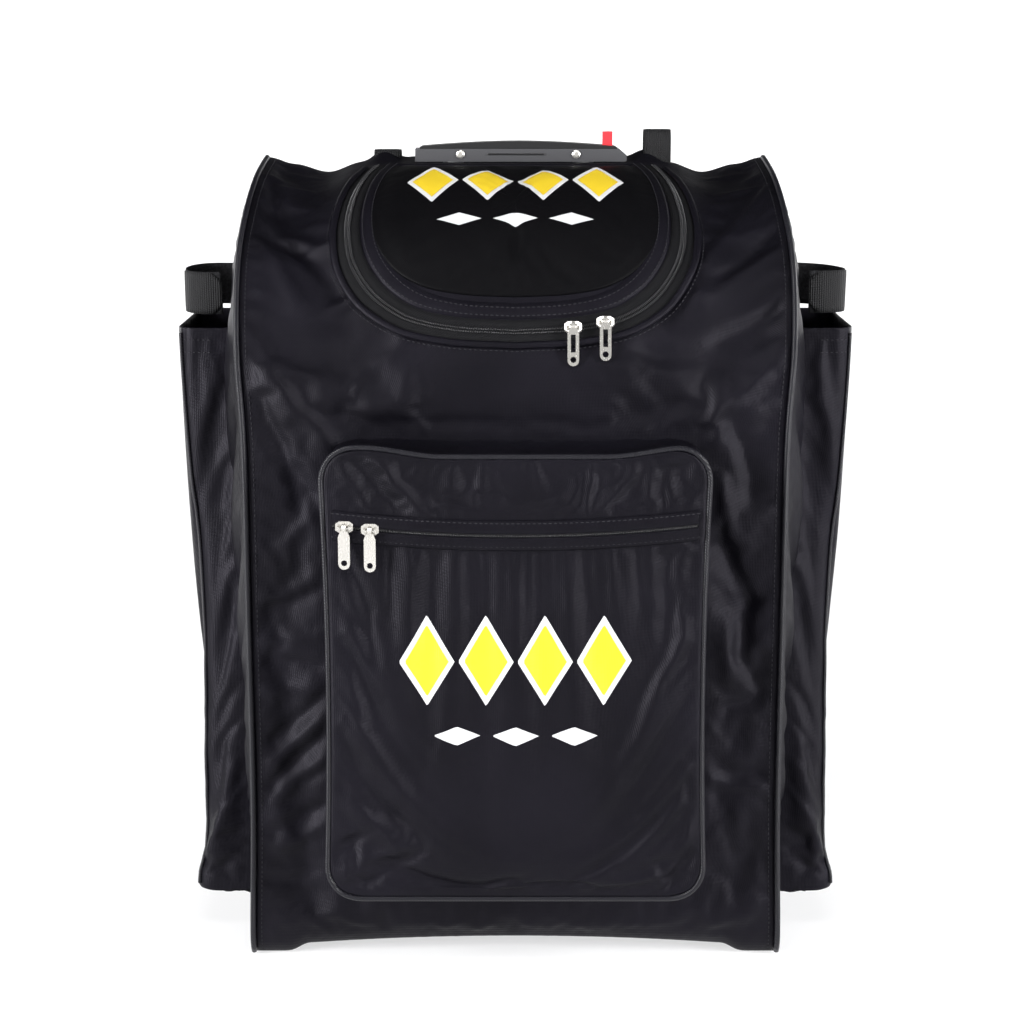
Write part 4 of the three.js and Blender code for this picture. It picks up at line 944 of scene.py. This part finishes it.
# the pixels across and down where a crease starts and ends, then its width and its depth in millimetres
POCKET_CREASES_SEEN = (
    # upper part, above the zip
    (372, 452, 424, 514, 8, -2.6), (352, 462, 398, 512, 8, 1.6),
    (402, 462, 470, 476, 9, 1.4), (470, 480, 560, 476, 12, 1.2),
    (440, 505, 540, 512, 10, -1.2), (592, 462, 588, 512, 4, -1.3),
    (604, 470, 592, 505, 5, 1.2), (634, 468, 602, 508, 7, -2.0),
    (620, 505, 690, 503, 9, -0.8), (684, 470, 686, 482, 9, 1.6),
    (650, 452, 650, 500, 5, -0.8), (666, 470, 664, 508, 5, 0.7),
    # below the zip: ripples that hang from it
    (388, 556, 390, 610, 6, 1.2), (408, 552, 411, 640, 8, -1.8),
    (432, 552, 436, 612, 7, 1.2), (456, 552, 462, 610, 8, -1.2),
    (484, 552, 490, 600, 8, 1.1), (508, 552, 520, 606, 8, -1.3),
    (540, 552, 536, 606, 9, 1.3), (566, 552, 570, 604, 8, -1.1),
    (586, 552, 588, 600, 6, 1.0), (612, 552, 612, 600, 8, -1.2),
    (636, 550, 640, 602, 5, 0.9), (650, 550, 654, 640, 5, -0.9),
    (664, 548, 668, 680, 5, 0.8), (680, 548, 684, 640, 6, -1.2),
    (694, 560, 690, 660, 6, 1.0),
    # left edge zone and lower left corner
    (352, 590, 356, 700, 10, -1.8), (374, 610, 370, 760, 9, 1.2),
    (356, 720, 372, 770, 9, -1.3), (346, 790, 388, 806, 8, 0.8),
    (336, 856, 352, 846, 7, 2.2), (352, 846, 392, 815, 8, 2.4),
    (392, 815, 416, 790, 9, 1.4), (346, 874, 410, 838, 8, -2.2),
    (364, 888, 420, 848, 8, 1.6),
    # lower middle and right
    (500, 806, 520, 850, 14, -1.2), (560, 820, 556, 880, 10, 1.0),
    (590, 840, 584, 888, 9, -1.2), (626, 770, 700, 752, 8, 1.3),
    (640, 800, 690, 830, 14, -2.0), (622, 868, 690, 858, 8, 1.2),
    (697, 858, 668, 892, 8, 2.6), (652, 872, 664, 888, 6, -1.6),
    (704, 700, 700, 800, 6, -0.9),
    # side to side slack by the print
    (396, 700, 640, 690, 16, 0.8), (400, 792, 640, 792, 12, -0.7),
)
POCKET_CREASES = [
    (*on_wall(*start, POCKET_FACE_Y), *on_wall(*end, POCKET_FACE_Y), width, depth)
    for start, end, width, depth in ((row[:2], row[2:4], *row[4:]) for row in POCKET_CREASES_SEEN)]


def waist(z):
    """The share of its width that the pocket keeps at a height, least at its middle."""
    return 1 - PINCH / POCKET_HALF * (1 - ((z - POCKET_MIDDLE) / POCKET_TALL) ** 2)


def pocket_reach(z, inset=0.0):
    """The pocket's half width at a height, with its rounded corners and its waist."""
    half, tall, round_off = POCKET_HALF - inset, POCKET_TALL - inset, CORNER - inset
    into = np.clip(np.abs(z - POCKET_MIDDLE) - (tall - round_off), 0, round_off)
    reach = half - round_off + np.sqrt(np.maximum(round_off ** 2 - into ** 2, 0))
    return reach * waist(z)


def pocket_face(x, z):
    """Where the pocket's full face stands in y."""
    across = np.maximum(1 - (x / POCKET_HALF) ** 2, 0) ** 0.6
    up = np.maximum(1 - ((z - POCKET_MIDDLE) / POCKET_TALL) ** 2, 0) ** 0.6
    return POCKET_FRONT - POCKET_BULGE * across * up


def pocket_sag(x, z):
    """How far the pocket's top edge hangs between its corners."""
    near_top = smooth(0.72, 1, (z - POCKET_MIDDLE) / POCKET_TALL)
    return POCKET_SAG * (1 - smooth(70, 140, np.abs(x - 8))) * near_top


def pocket_creases(x, z):
    """How far the slack cloth of the pocket's face is pressed in, clear of its cord and its zip."""
    total = np.zeros(x.shape)
    for start_x, start_z, end_x, end_z, width, depth in POCKET_CREASES:
        run = np.array([end_x - start_x, end_z - start_z], float)
        share = np.clip(((x - start_x) * run[0] + (z - start_z) * run[1]) / (run @ run), 0, 1)
        off = np.hypot(x - start_x - share * run[0], z - start_z - share * run[1]) / width
        total += POCKET_CREASE_DEEP * depth * np.exp(-off ** 2)
    rim = np.minimum(pocket_reach(z, 0) - np.abs(x), POCKET_TALL - np.abs(z - POCKET_MIDDLE))
    return total * smooth(2, 13, rim) * smooth(8, 16, np.abs(z - zip_height(x)))


def pocket_loop(inset, step=5.0):
    """Across and up for points round the pocket's front edge, from the lower left corner to the right."""
    half, tall, round_off = POCKET_HALF - inset, POCKET_TALL - inset, CORNER - inset
    turn = np.linspace(0, math.pi / 2, 9)
    run = []
    for side_x, side_z, flip in ((-1, -1, 1), (1, -1, 0), (1, 1, 1), (-1, 1, 0)):
        angle = turn if flip else turn[::-1]
        corner = np.stack([side_x * (half - round_off + round_off * np.cos(angle)),
                           POCKET_MIDDLE + side_z * (tall - round_off + round_off * np.sin(angle))], axis=1)
        run.append(corner)
    run = np.vstack([*run, run[0][:1]])
    run = spaced(run, step)[0]
    run[:, 0] *= waist(run[:, 1])
    return run[:-1]


def zip_height(x):
    """The zip bows down at its middle."""
    return POCKET_ZIP + ZIP_BOW * (x / ZIP_REACH) ** 2


def pocket_cloth():
    """The creased face as a grid, and its rim run back to the body in steps."""
    rows, across = 93, 75
    lean = np.sin(np.linspace(-math.pi / 2, math.pi / 2, rows))
    level = np.linspace(-1, 1, rows) * 0.6 + lean * 0.4
    z = POCKET_MIDDLE + (POCKET_TALL - 3.5) * level
    x = np.linspace(-1, 1, across)[None, :] * pocket_reach(z, 3.5)[:, None]
    z = np.broadcast_to(z[:, None], x.shape)
    face = np.stack([x, pocket_face(x, z) + pocket_creases(x, z), z - pocket_sag(x, z)], axis=-1)
    rim = np.vstack([face[0], face[1:, -1], face[-1, -2::-1], face[-2:0:-1, 0]])
    rim = np.vstack([rim, rim[:1]])
    x, z = rim[:, 0], rim[:, 2] - POCKET_MIDDLE
    out = unit(np.stack([x / POCKET_HALF, 0 * x, z / POCKET_TALL], 1))
    at_side = np.abs(z) <= POCKET_TALL - CORNER
    out[at_side] = np.stack([np.sign(x), 0 * x, 0 * x], 1)[at_side]
    at_end = ~at_side & (np.abs(x) <= POCKET_HALF - CORNER)
    out[at_end] = np.stack([0 * x, 0 * x, np.sign(z)], 1)[at_end]
    walls = []
    for grow, back in ((0, 0), (2.2, 1.0), (3.5, 4.5), *((3.5, back) for back in (10, 17, 25, 33, 41, 50))):
        ring = rim + out * grow
        ring[:, 1] = POCKET_FRONT + back if back > 3 else rim[:, 1] + back
        ring[:, 2] += pocket_sag(rim[:, 0], rim[:, 2] + POCKET_SAG) * back / POCKET_DEEP
        walls.append(ring)
    return piece_from("pocket_cloth", [face, np.stack(walls, axis=1)], "black_nylon")


def pocket_freedom(points):
    """1 where the pocket's cloth is free, 0 at its cord, its zip and the body."""
    x, y, z = points.T
    edge = np.abs(y - (POCKET_FRONT + 2.5)) < 3.5
    rim = np.minimum(pocket_reach(z, 0) - np.abs(x), POCKET_TALL - np.abs(z - POCKET_MIDDLE))
    face = smooth(3, 16, rim)
    zip_band = smooth(9, 22, np.abs(z - zip_height(x)))
    wall = smooth(0, 10, y - POCKET_FRONT - 4) * smooth(0, 12, FRONT + 1 - y)
    return np.where(y < POCKET_FRONT + 1.5, face * (0.12 + 0.88 * zip_band), wall * ~edge)


pocket = pocket_cloth()
crumpled(pocket, pocket_freedom(read_points(pocket.data)), growth=0.035, cap=6.0, pressure=0.15)
softened(pocket)
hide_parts("front_pocket")
loop = pocket_loop(-0.4, 5.0)
loop_path = np.stack([loop[:, 0], np.full(len(loop), POCKET_FRONT + 1.2),
                      loop[:, 1] - pocket_sag(loop[:, 0], loop[:, 1])], axis=1)
pocket_cord = piece_from("pocket_cord", [swept(loop_path, (0, -1, 0), 4.8, 4.8, closed=True)],
                         "piping_cloth", wraps=True)
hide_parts("pocket_piping")
print("pocket faces:", len(pocket.data.polygons))

# %% Pocket zip
zip_x = np.linspace(-ZIP_REACH, ZIP_REACH, 120)


def zip_row(offset, lift):
    """A line along the zip, so far above its middle and proud of the pocket's face."""
    z = zip_height(zip_x) + offset
    return np.stack([zip_x, pocket_face(zip_x, z) - lift, z], axis=1)


def pocket_strip(offsets, lifts):
    """A grid from one such line to the next."""
    return np.stack([zip_row(offset, lift) for offset, lift in zip(offsets, lifts)], axis=1)


tape = piece_from("pocket_zip_tape", [pocket_strip((-4, -2.5, 0, 2.5, 4), (0.2, 1.0, 1.2, 1.0, 0.2))],
                  "zip_tape")
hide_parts("pocket_zip")
for name, side, start, shift in (("lower", -1, -2.6, 0.0), ("upper", 1, 1.6, 0.5)):
    lip = pocket_strip([start + side * step for step in (-0.6, -0.9, 0, 2.5, 6, 9.5, 11, 11.4)],
                       (0.6, 2.2, 3.2, 3.4, 3.0, 2.2, 1.2, -1.5))
    piece_from("pocket_zip_lip_" + name, [lip], "black_nylon")
    spots = spaced(zip_row(side * 0.9, 1.9), 1.4)[0]
    spots = spots[:-1] + np.diff(spots, axis=0) * shift
    upright, outwards = (np.broadcast_to(way, spots.shape) for way in ((0, 0, 1.0), (0, -1.0, 0)))
    beads("pocket_zip_teeth_" + name, spots, upright, outwards, (2.6, 0.9, 1.4), "zip_coil")
    stitches("pocket_zip_stitches_" + name, zip_row(side * 10.2, 2.4), (0, -1, 0))
print("zip reaches", ZIP_REACH, "mm each side")

# %% [markdown]
# A cord runs up each front corner, over the shoulder and back along the sloping top. It hides the seam
# between the sheet and the side panel, and it holds the bag's outline. It follows the same curve as the
# sheet's edge.

# %% Seam cords
SIDES = ((-1, "left"), (1, "right"))
for side, name in SIDES:
    rows = np.linspace(0.006, 0.985, 150)
    down = SHEET * (1 - rows)
    edge_x = side * HALF_WIDTH * along_profile(rows)[0]
    edge = sheet_point(edge_x, down)
    facing = unit(sheet_normal(edge_x, down) + np.array([side * 0.9, 0, 0]))
    cord = piece_from("seam_cord_" + name, [swept(edge + facing * 1.6, facing, 5.2, 5.2)], "piping_cloth",
                      wraps=True)
    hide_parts("piping_" + name)
    stitches("seam_stitches_" + name, sheet_point(edge_x - side * 7, down) + facing * 0.4, facing)
print("seam cords: 2")

# %% [markdown]
# A long open sleeve on each side holds a bat. It is a U of nylon sewn to the side panel, doubled over
# into a hem at its mouth, with a corded front corner. Empty, it hangs in long folds from the mouth, so it
# gets more spare cloth than the body. Its lower end is a flat bottom panel.

# %% Bat sleeves
SLEEVE = dict(out=51.0, front=-67.0, back=83.0, low=40.0, high=571.0, corner=16.0)
# across and back, the middle that the rows of thread round its mouth face away from
SLEEVE_CORE = (262.0, 8.0)
# up: share of the sleeve's height, out: share of its reach
SLEEVE_SHAPE = ((0, 0.97), (0.08, 0.9), (0.25, 0.86), (0.45, 0.83), (0.65, 0.87), (0.82, 0.92), (1, 1))
ROOT = HALF_WIDTH + 4


def sleeve_reach(share):
    """How far out the sleeve's outer face stands, at a share of its height."""
    run, _ = centripetal(np.array([(0, up, out) for up, out in SLEEVE_SHAPE], float))
    return HALF_WIDTH + SIDE_BULGE - 6 + SLEEVE["out"] * np.interp(share, run[:, 1], run[:, 2])


def sleeve_section(reach, around):
    """Half the way round is 0.5: in front from the root, round the outer face, and back to the root."""
    corner, front, back = SLEEVE["corner"], SLEEVE["front"], SLEEVE["back"]
    turn = np.linspace(0, math.pi / 2, 8)
    shape = [[ROOT, front]]
    shape += [[reach - corner + corner * math.sin(a), front + corner - corner * math.cos(a)] for a in turn]
    shape += [[reach - corner + corner * math.cos(a), back - corner + corner * math.sin(a)] for a in turn]
    shape += [[ROOT, back]]
    shape = np.array(shape)
    length = length_along(shape)
    at = around * length[-1]
    return np.interp(at, length, shape[:, 0]), np.interp(at, length, shape[:, 1])


def bat_sleeve(side, name):
    """A sleeve with its bottom panel, and its wall's grid as it was before the cloth sagged."""
    heights = np.linspace(0, 1, 96)
    around = np.linspace(0, 1, 49)
    rows = []
    for share in heights:
        x, y = sleeve_section(sleeve_reach(share), around)
        z = SLEEVE["low"] + share * (SLEEVE["high"] - SLEEVE["low"])
        rows.append(np.stack([side * x, y, np.full(len(x), z)], axis=1))
    wall = np.stack(rows)
    t = np.linspace(0, 1, 8)[:, None, None]
    root_line = np.stack([np.full(49, side * ROOT), wall[0][:, 1], wall[0][:, 2]], axis=1)
    floor_panel = wall[0][None] * (1 - t) + root_line[None] * t
    sleeve = piece_from("bat_sleeve_" + name, [wall, floor_panel], "black_nylon")
    x, y, z = read_points(sleeve.data).T
    free = smooth(ROOT + 2, ROOT + 22, np.abs(x)) * smooth(SLEEVE["low"] + 1, SLEEVE["low"] + 30, z)
    free *= 0.35 + 0.65 * smooth(0, 40, SLEEVE["high"] - z)
    crumpled(sleeve, free, growth=0.045, cap=8.0, gravity=1.0)
    softened(sleeve, 1.6)
    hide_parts("bat_pocket_" + name)
    return wall, sleeve


def on_piece(piece, points, facing, reach=25.0, lift=0.4):
    """Points moved onto a piece's surface along the way they face."""
    tree = BVHTree.FromObject(piece, bpy.context.evaluated_depsgraph_get())
    facing = np.broadcast_to(unit(np.asarray(facing, float)), points.shape)
    placed = points.copy()
    for i, (point, way) in enumerate(zip(points, facing)):
        hit, *_ = tree.ray_cast(Vector((point + way * reach) * MM), Vector(-way), 2 * reach * MM)
        if hit:
            placed[i] = np.array(hit) / MM + way * lift
    return placed


for side, name in SIDES:
    wall, sleeve = bat_sleeve(side, name)
    for label, row in (("hem", -3), ("hem_lower", -5)):
        path = wall[row][6:-6]
        middle = np.array([side * SLEEVE_CORE[0], SLEEVE_CORE[1], path[0, 2]])
        facing = unit(path - middle)
        stitches(f"sleeve_{label}_stitches_{name}", on_piece(sleeve, path, facing), facing)
    corner = np.stack([row[11] for row in wall[1:-1]])
    facing = unit(np.array([side, -0.8, 0]))
    corner = on_piece(sleeve, corner, facing, lift=0.9)
    piece_from("sleeve_cord_" + name, [swept(corner, facing, 3.6, 3.2, 8)], "piping_cloth", wraps=True)
print("bat sleeves: 2, each", round(SLEEVE["high"] - SLEEVE["low"]), "mm tall")

# %% [markdown]
# Over each sleeve a wide band of hook-and-loop tape closes round the bat's shoulder. Empty, it is a stiff
# ring that keeps its oval. Its free end laps over the front and is cut with blunt corners.

# %% Bat bands
BAND = dict(out=48.0, half=38.0, wide=38.0, middle=598.0)
# out: share of the band's reach, front: share of its half depth
BAND_SHAPE = ((-0.35, -0.95), (0.3, -1), (0.72, -0.8), (0.95, -0.35), (1, 0.15), (0.88, 0.65), (0.55, 0.95),
              (0.25, 1))


def flat_strip(name, path, faces, wide, thick, finish_name, rows=9):
    """A ribbon with real thickness: a closed section whose broad faces stay flat."""
    along = unit(np.gradient(path, axis=0))
    across = unit(np.cross(along, np.broadcast_to(faces, path.shape)))
    top = unit(np.cross(across, along))
    wide, thick = (np.broadcast_to(np.asarray(v, float), len(path)) for v in (wide, thick))
    upper = [(s, 1 - 0.35 * abs(s) ** 12) for s in np.linspace(-1, 1, rows)]
    section = upper + [(s, -h) for s, h in reversed(upper)]
    ring = np.stack([path + across * (s * wide / 2)[:, None] + top * (h * thick / 2)[:, None]
                     for s, h in section], axis=1)
    ends = [np.repeat(ring[i].mean(axis=0)[None, None], len(section), axis=1) for i in (0, -1)]
    near = [ring[i].mean(axis=0) + (ring[i] - ring[i].mean(axis=0)) * 0.97 for i in (0, -1)]
    return piece_from(name, [np.concatenate([ends[0], near[0][None], ring, near[1][None], ends[1]])],
                      finish_name, wraps=True)


for side, name in SIDES:
    root = HALF_WIDTH + SIDE_BULGE - 4
    shape = np.array([(side * (root + out * BAND["out"]), MIDDLE_Y - front * BAND["half"], BAND["middle"])
                      for out, front in BAND_SHAPE])
    path = spaced(centripetal(shape)[0], 3.0)[0]
    middle = np.array([side * (root + 18), MIDDLE_Y, BAND["middle"]])
    path[:, 2] += np.sin(np.linspace(0, 1, len(path)) * 7 + side) * 0.8
    band = flat_strip("bat_band_" + name, path, unit(path - middle), BAND["wide"], 2.0, "hook_and_loop")
    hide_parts("bat_strap_" + name)
    lap = path[-16:] + unit(path[-16:] - middle) * 1.7
    taper = np.minimum(np.linspace(3.2, 0.55, 16), 1) * (BAND["wide"] - 1)
    flat_strip("bat_band_tab_" + name, lap, unit(lap - middle), taper, 1.2, "webbing")
print("bat bands: 2")

# %% [markdown]
# The carrying side is webbing and foam. Two loops of webbing stand over the rear top edge, each runs down
# into a padded shoulder strap, and that narrows again to webbing with a ring sewn low on the back.

# %% Straps
STRAP_TOP, STRAP_FOOT, FOOT_X, BOW = HEIGHT - 50, 190.0, 244.0, 46.0
WEBBING_WIDE, PAD_WIDER, PAD_THICKER = 26.0, 36.0, 6.0
# across, and how far its loop stands over the top edge: the two differ in the picture
for x, rise, side, name in ((-122.0, 7.0, -1, "left"), (136.0, 26.0, 1, "right")):
    front, rear = REAR - 14, REAR + 4
    turn, top = (rear - front) / 2, HEIGHT + rise
    arch = [(x, (front + rear) / 2 + turn * math.sin(a), top - 1 - turn + turn * math.cos(a))
            for a in np.radians(np.linspace(-90, 90, 13))]
    foot = [(x, rear, STRAP_TOP + 12), (x, rear + 2, STRAP_TOP + 1)]
    path = spaced(np.array([(x, front, HEIGHT - 20), *arch, *foot]), 3.0)[0]
    middle = np.array([x, (front + rear) / 2, 0])
    over = np.maximum(path[:, 2:] - (top - turn), 0)
    faces = (path - middle) * (0, 1, 0) + over * (0, 0, 1) + (0, 1e-3, 0)
    loop = flat_strip("webbing_loop_" + name, path, unit(faces), WEBBING_WIDE, 2.0, "webbing")
    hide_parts("strap_loop_" + name)

    share = np.linspace(0, 1, 90)
    padded = smooth(0, 0.1, share) * (1 - smooth(0.66, 0.78, share))
    thick = 3.0 + PAD_THICKER * padded
    bow = BOW * np.sin(math.pi * share)
    run_x = x + side * (FOOT_X - abs(x)) * share ** 1.8
    path = np.stack([run_x, REAR + 0.8 + thick / 2 + bow, STRAP_TOP - (STRAP_TOP - STRAP_FOOT) * share],
                    axis=1)
    wide = WEBBING_WIDE + PAD_WIDER * padded
    rings = swept(path, (0, 1, 0), wide, thick, 28, square=0.45)
    strap = piece_from("shoulder_strap_pad_" + name, [rings], "pad_nylon", wraps=True)
    softened(strap)
    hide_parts("shoulder_strap_" + name)
    bound = slice(2, 62)
    for edge in (-1, 1):
        rim = path + np.array([1, 0, 0]) * (edge * (wide / 2 - 1.2))[:, None]
        label = "inner" if edge * side < 0 else "outer"
        binding = swept(rim[bound], (0, 1, 0), 4.4, np.minimum(thick + 0.9, 6.4)[bound])
        piece_from(f"strap_binding_{name}_{label}", [binding], "webbing", wraps=True)
print("straps: 2")

# %% [markdown]
# Hard pieces keep their exact shapes, because the frame made them to fit. What they lack is what a mould
# or a press leaves: a small radius on every edge, which catches a thin line of light. A Bevel modifier on
# a copy gives that, and the copy takes the finish of the real material.


# %% Hard pieces
def eased(node, width, finish_name, body):
    """A copy of a hard node with its edges rounded by so many millimetres."""
    piece = dressed(node + "_finished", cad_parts[node].data.copy(), finish_name, body)
    bevel = piece.modifiers.new("bevel", "BEVEL")
    bevel.width = width * MM
    bevel.segments = 2
    bevel.limit_method = "ANGLE"
    bevel.angle_limit = math.radians(32)
    bevel.use_clamp_overlap = True
    applied(piece)
    piece.data.set_sharp_from_angle(angle=math.radians(40))
    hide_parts(node)


hard_pieces = [("handle_bezel", 1.0, "grey_plastic", "bag"), ("handle_grip", 0.8, "black_plastic", "handle"),
               ("release_button", 1.0, "red_plastic", "button")]
for side in ("left", "right"):
    hard_pieces += [
        (f"strap_ring_{side}", 0.9, "black_plastic", "bag"), (f"strap_tab_{side}", 0.4, "webbing", "bag"),
        (f"wheel_housing_{side}", 1.6, "black_plastic", "bag"),
        (f"wheel_{side}", 0.9, "tyre_rubber", side + "_wheel"),
        (f"guide_tube_{side}", 0.2, "aluminium", "bag"), (f"handle_rod_{side}", 0.2, "aluminium", "handle"),
        (f"bezel_rivet_{side}", 0.25, "nickel", "bag")]
for kind in ("lid", "pocket"):
    for number, letter in ((1, "a"), (2, "b")):
        hard_pieces += [(f"{kind}_slider_{number}", 0.35, "nickel", "bag"),
                        (f"{kind}_pull_{number}", 0.3, "nickel", f"{kind}_pull_{letter}")]
for row in hard_pieces:
    eased(*row)

# A black strip along the handle housing's middle is painted shade, standing in for the shadow in a thin
# slot.
SLOT_BACK, SLOT_UP = 105.1, 714.2
SLOT_SHADE_PATH = np.array([(x, SLOT_BACK, SLOT_UP) for x in np.linspace(-27, 29, 20)])
flat_strip("bezel_slot_shade", SLOT_SHADE_PATH, (0, -1, 0), 1.6, 0.8, "black_plastic", 5)
print("hard pieces:", len(hard_pieces))

# %% [markdown]
# The front carries a printed design in yellow with white outlines. This one is a plain row of lozenges
# with three small ones below. Ink lies on cloth and follows its folds, so each shape is a fine flat mesh
# that is laid onto the finished cloth, a fraction of a millimetre proud. An outline is the same lozenge a
# little larger, laid just below.


# %% Printed design
PRINT_UP, LID_PRINT_DOWN = 266.0, 152.0
RAY_START, RAY_LIFT = -400.0, 40.0
INK_LIFT, OUTLINE_LIFT = 0.6, 0.35


def from_the_front(x, up):
    """Where a ray onto the pocket starts and which way it goes."""
    return Vector((x, RAY_START, up + PRINT_UP)) * MM, Vector((0, 1, 0))


def from_above_the_lid(x, up):
    """The same for the lid's pad, where up is up the slope."""
    down = LID_PRINT_DOWN - up * 0.9
    at, normal = sheet_point(x, down), sheet_normal(x, down)
    return Vector((at + normal * RAY_LIFT) * MM), Vector(-normal)


def laid(flat, tree, ray, lift):
    """Points of the flat design laid on a piece, at a height above its cloth."""
    placed = []
    for x, up in flat:
        hit, way, *_ = tree.ray_cast(*ray(x, up))
        placed.append(np.array(hit + way * lift * MM) / MM)
    return np.array(placed)


def lozenge(x, up, half_wide, half_high):
    """Its corners, given across and up."""
    return np.array([(x + half_wide, up), (x, up + half_high), (x - half_wide, up), (x, up - half_high)])


# across, up, half width and half height as shares of the design's half width, and its finish's kind
DESIGN = [(x, 0.30, 0.235, 0.40, "outline") for x in (-0.75, -0.25, 0.25, 0.75)]
DESIGN += [(x, 0.30, 0.185, 0.315, "body") for x in (-0.75, -0.25, 0.25, 0.75)]
DESIGN += [(x, -0.36, 0.20, 0.085, "outline") for x in (-0.5, 0, 0.5)]


def print_design(place, piece, ray, half, ink):
    """Lays the whole design on a piece as filled shapes. half is its half width."""
    tree = BVHTree.FromObject(piece, bpy.context.evaluated_depsgraph_get())
    for number, (*sizes, kind) in enumerate(DESIGN):
        corners = lozenge(*(size * half for size in sizes))
        outline = spaced(np.vstack([corners, corners[:1]]), 3.0)[0]
        middle = outline[:-1].mean(axis=0)
        flat = np.stack([middle + (outline - middle) * share for share in np.linspace(1, 0.001, 7)])
        lift, finish_name = (INK_LIFT, ink) if kind == "body" else (OUTLINE_LIFT, "silver_ink")
        placed = laid(flat.reshape(-1, 2), tree, ray, lift).reshape(*flat.shape[:2], 3)
        piece_from(f"{place}_print_{number}", [placed], finish_name)


print_design("pocket", pocket, from_the_front, 102.0, "yellow_ink")
print("shapes in the design:", len(DESIGN))

# %% Printed design on the lid
print_design("lid", lid_pad, from_above_the_lid, 100.0, "gold_ink")
print("the lid's design is", LID_PRINT_DOWN, "mm down from the rear edge")
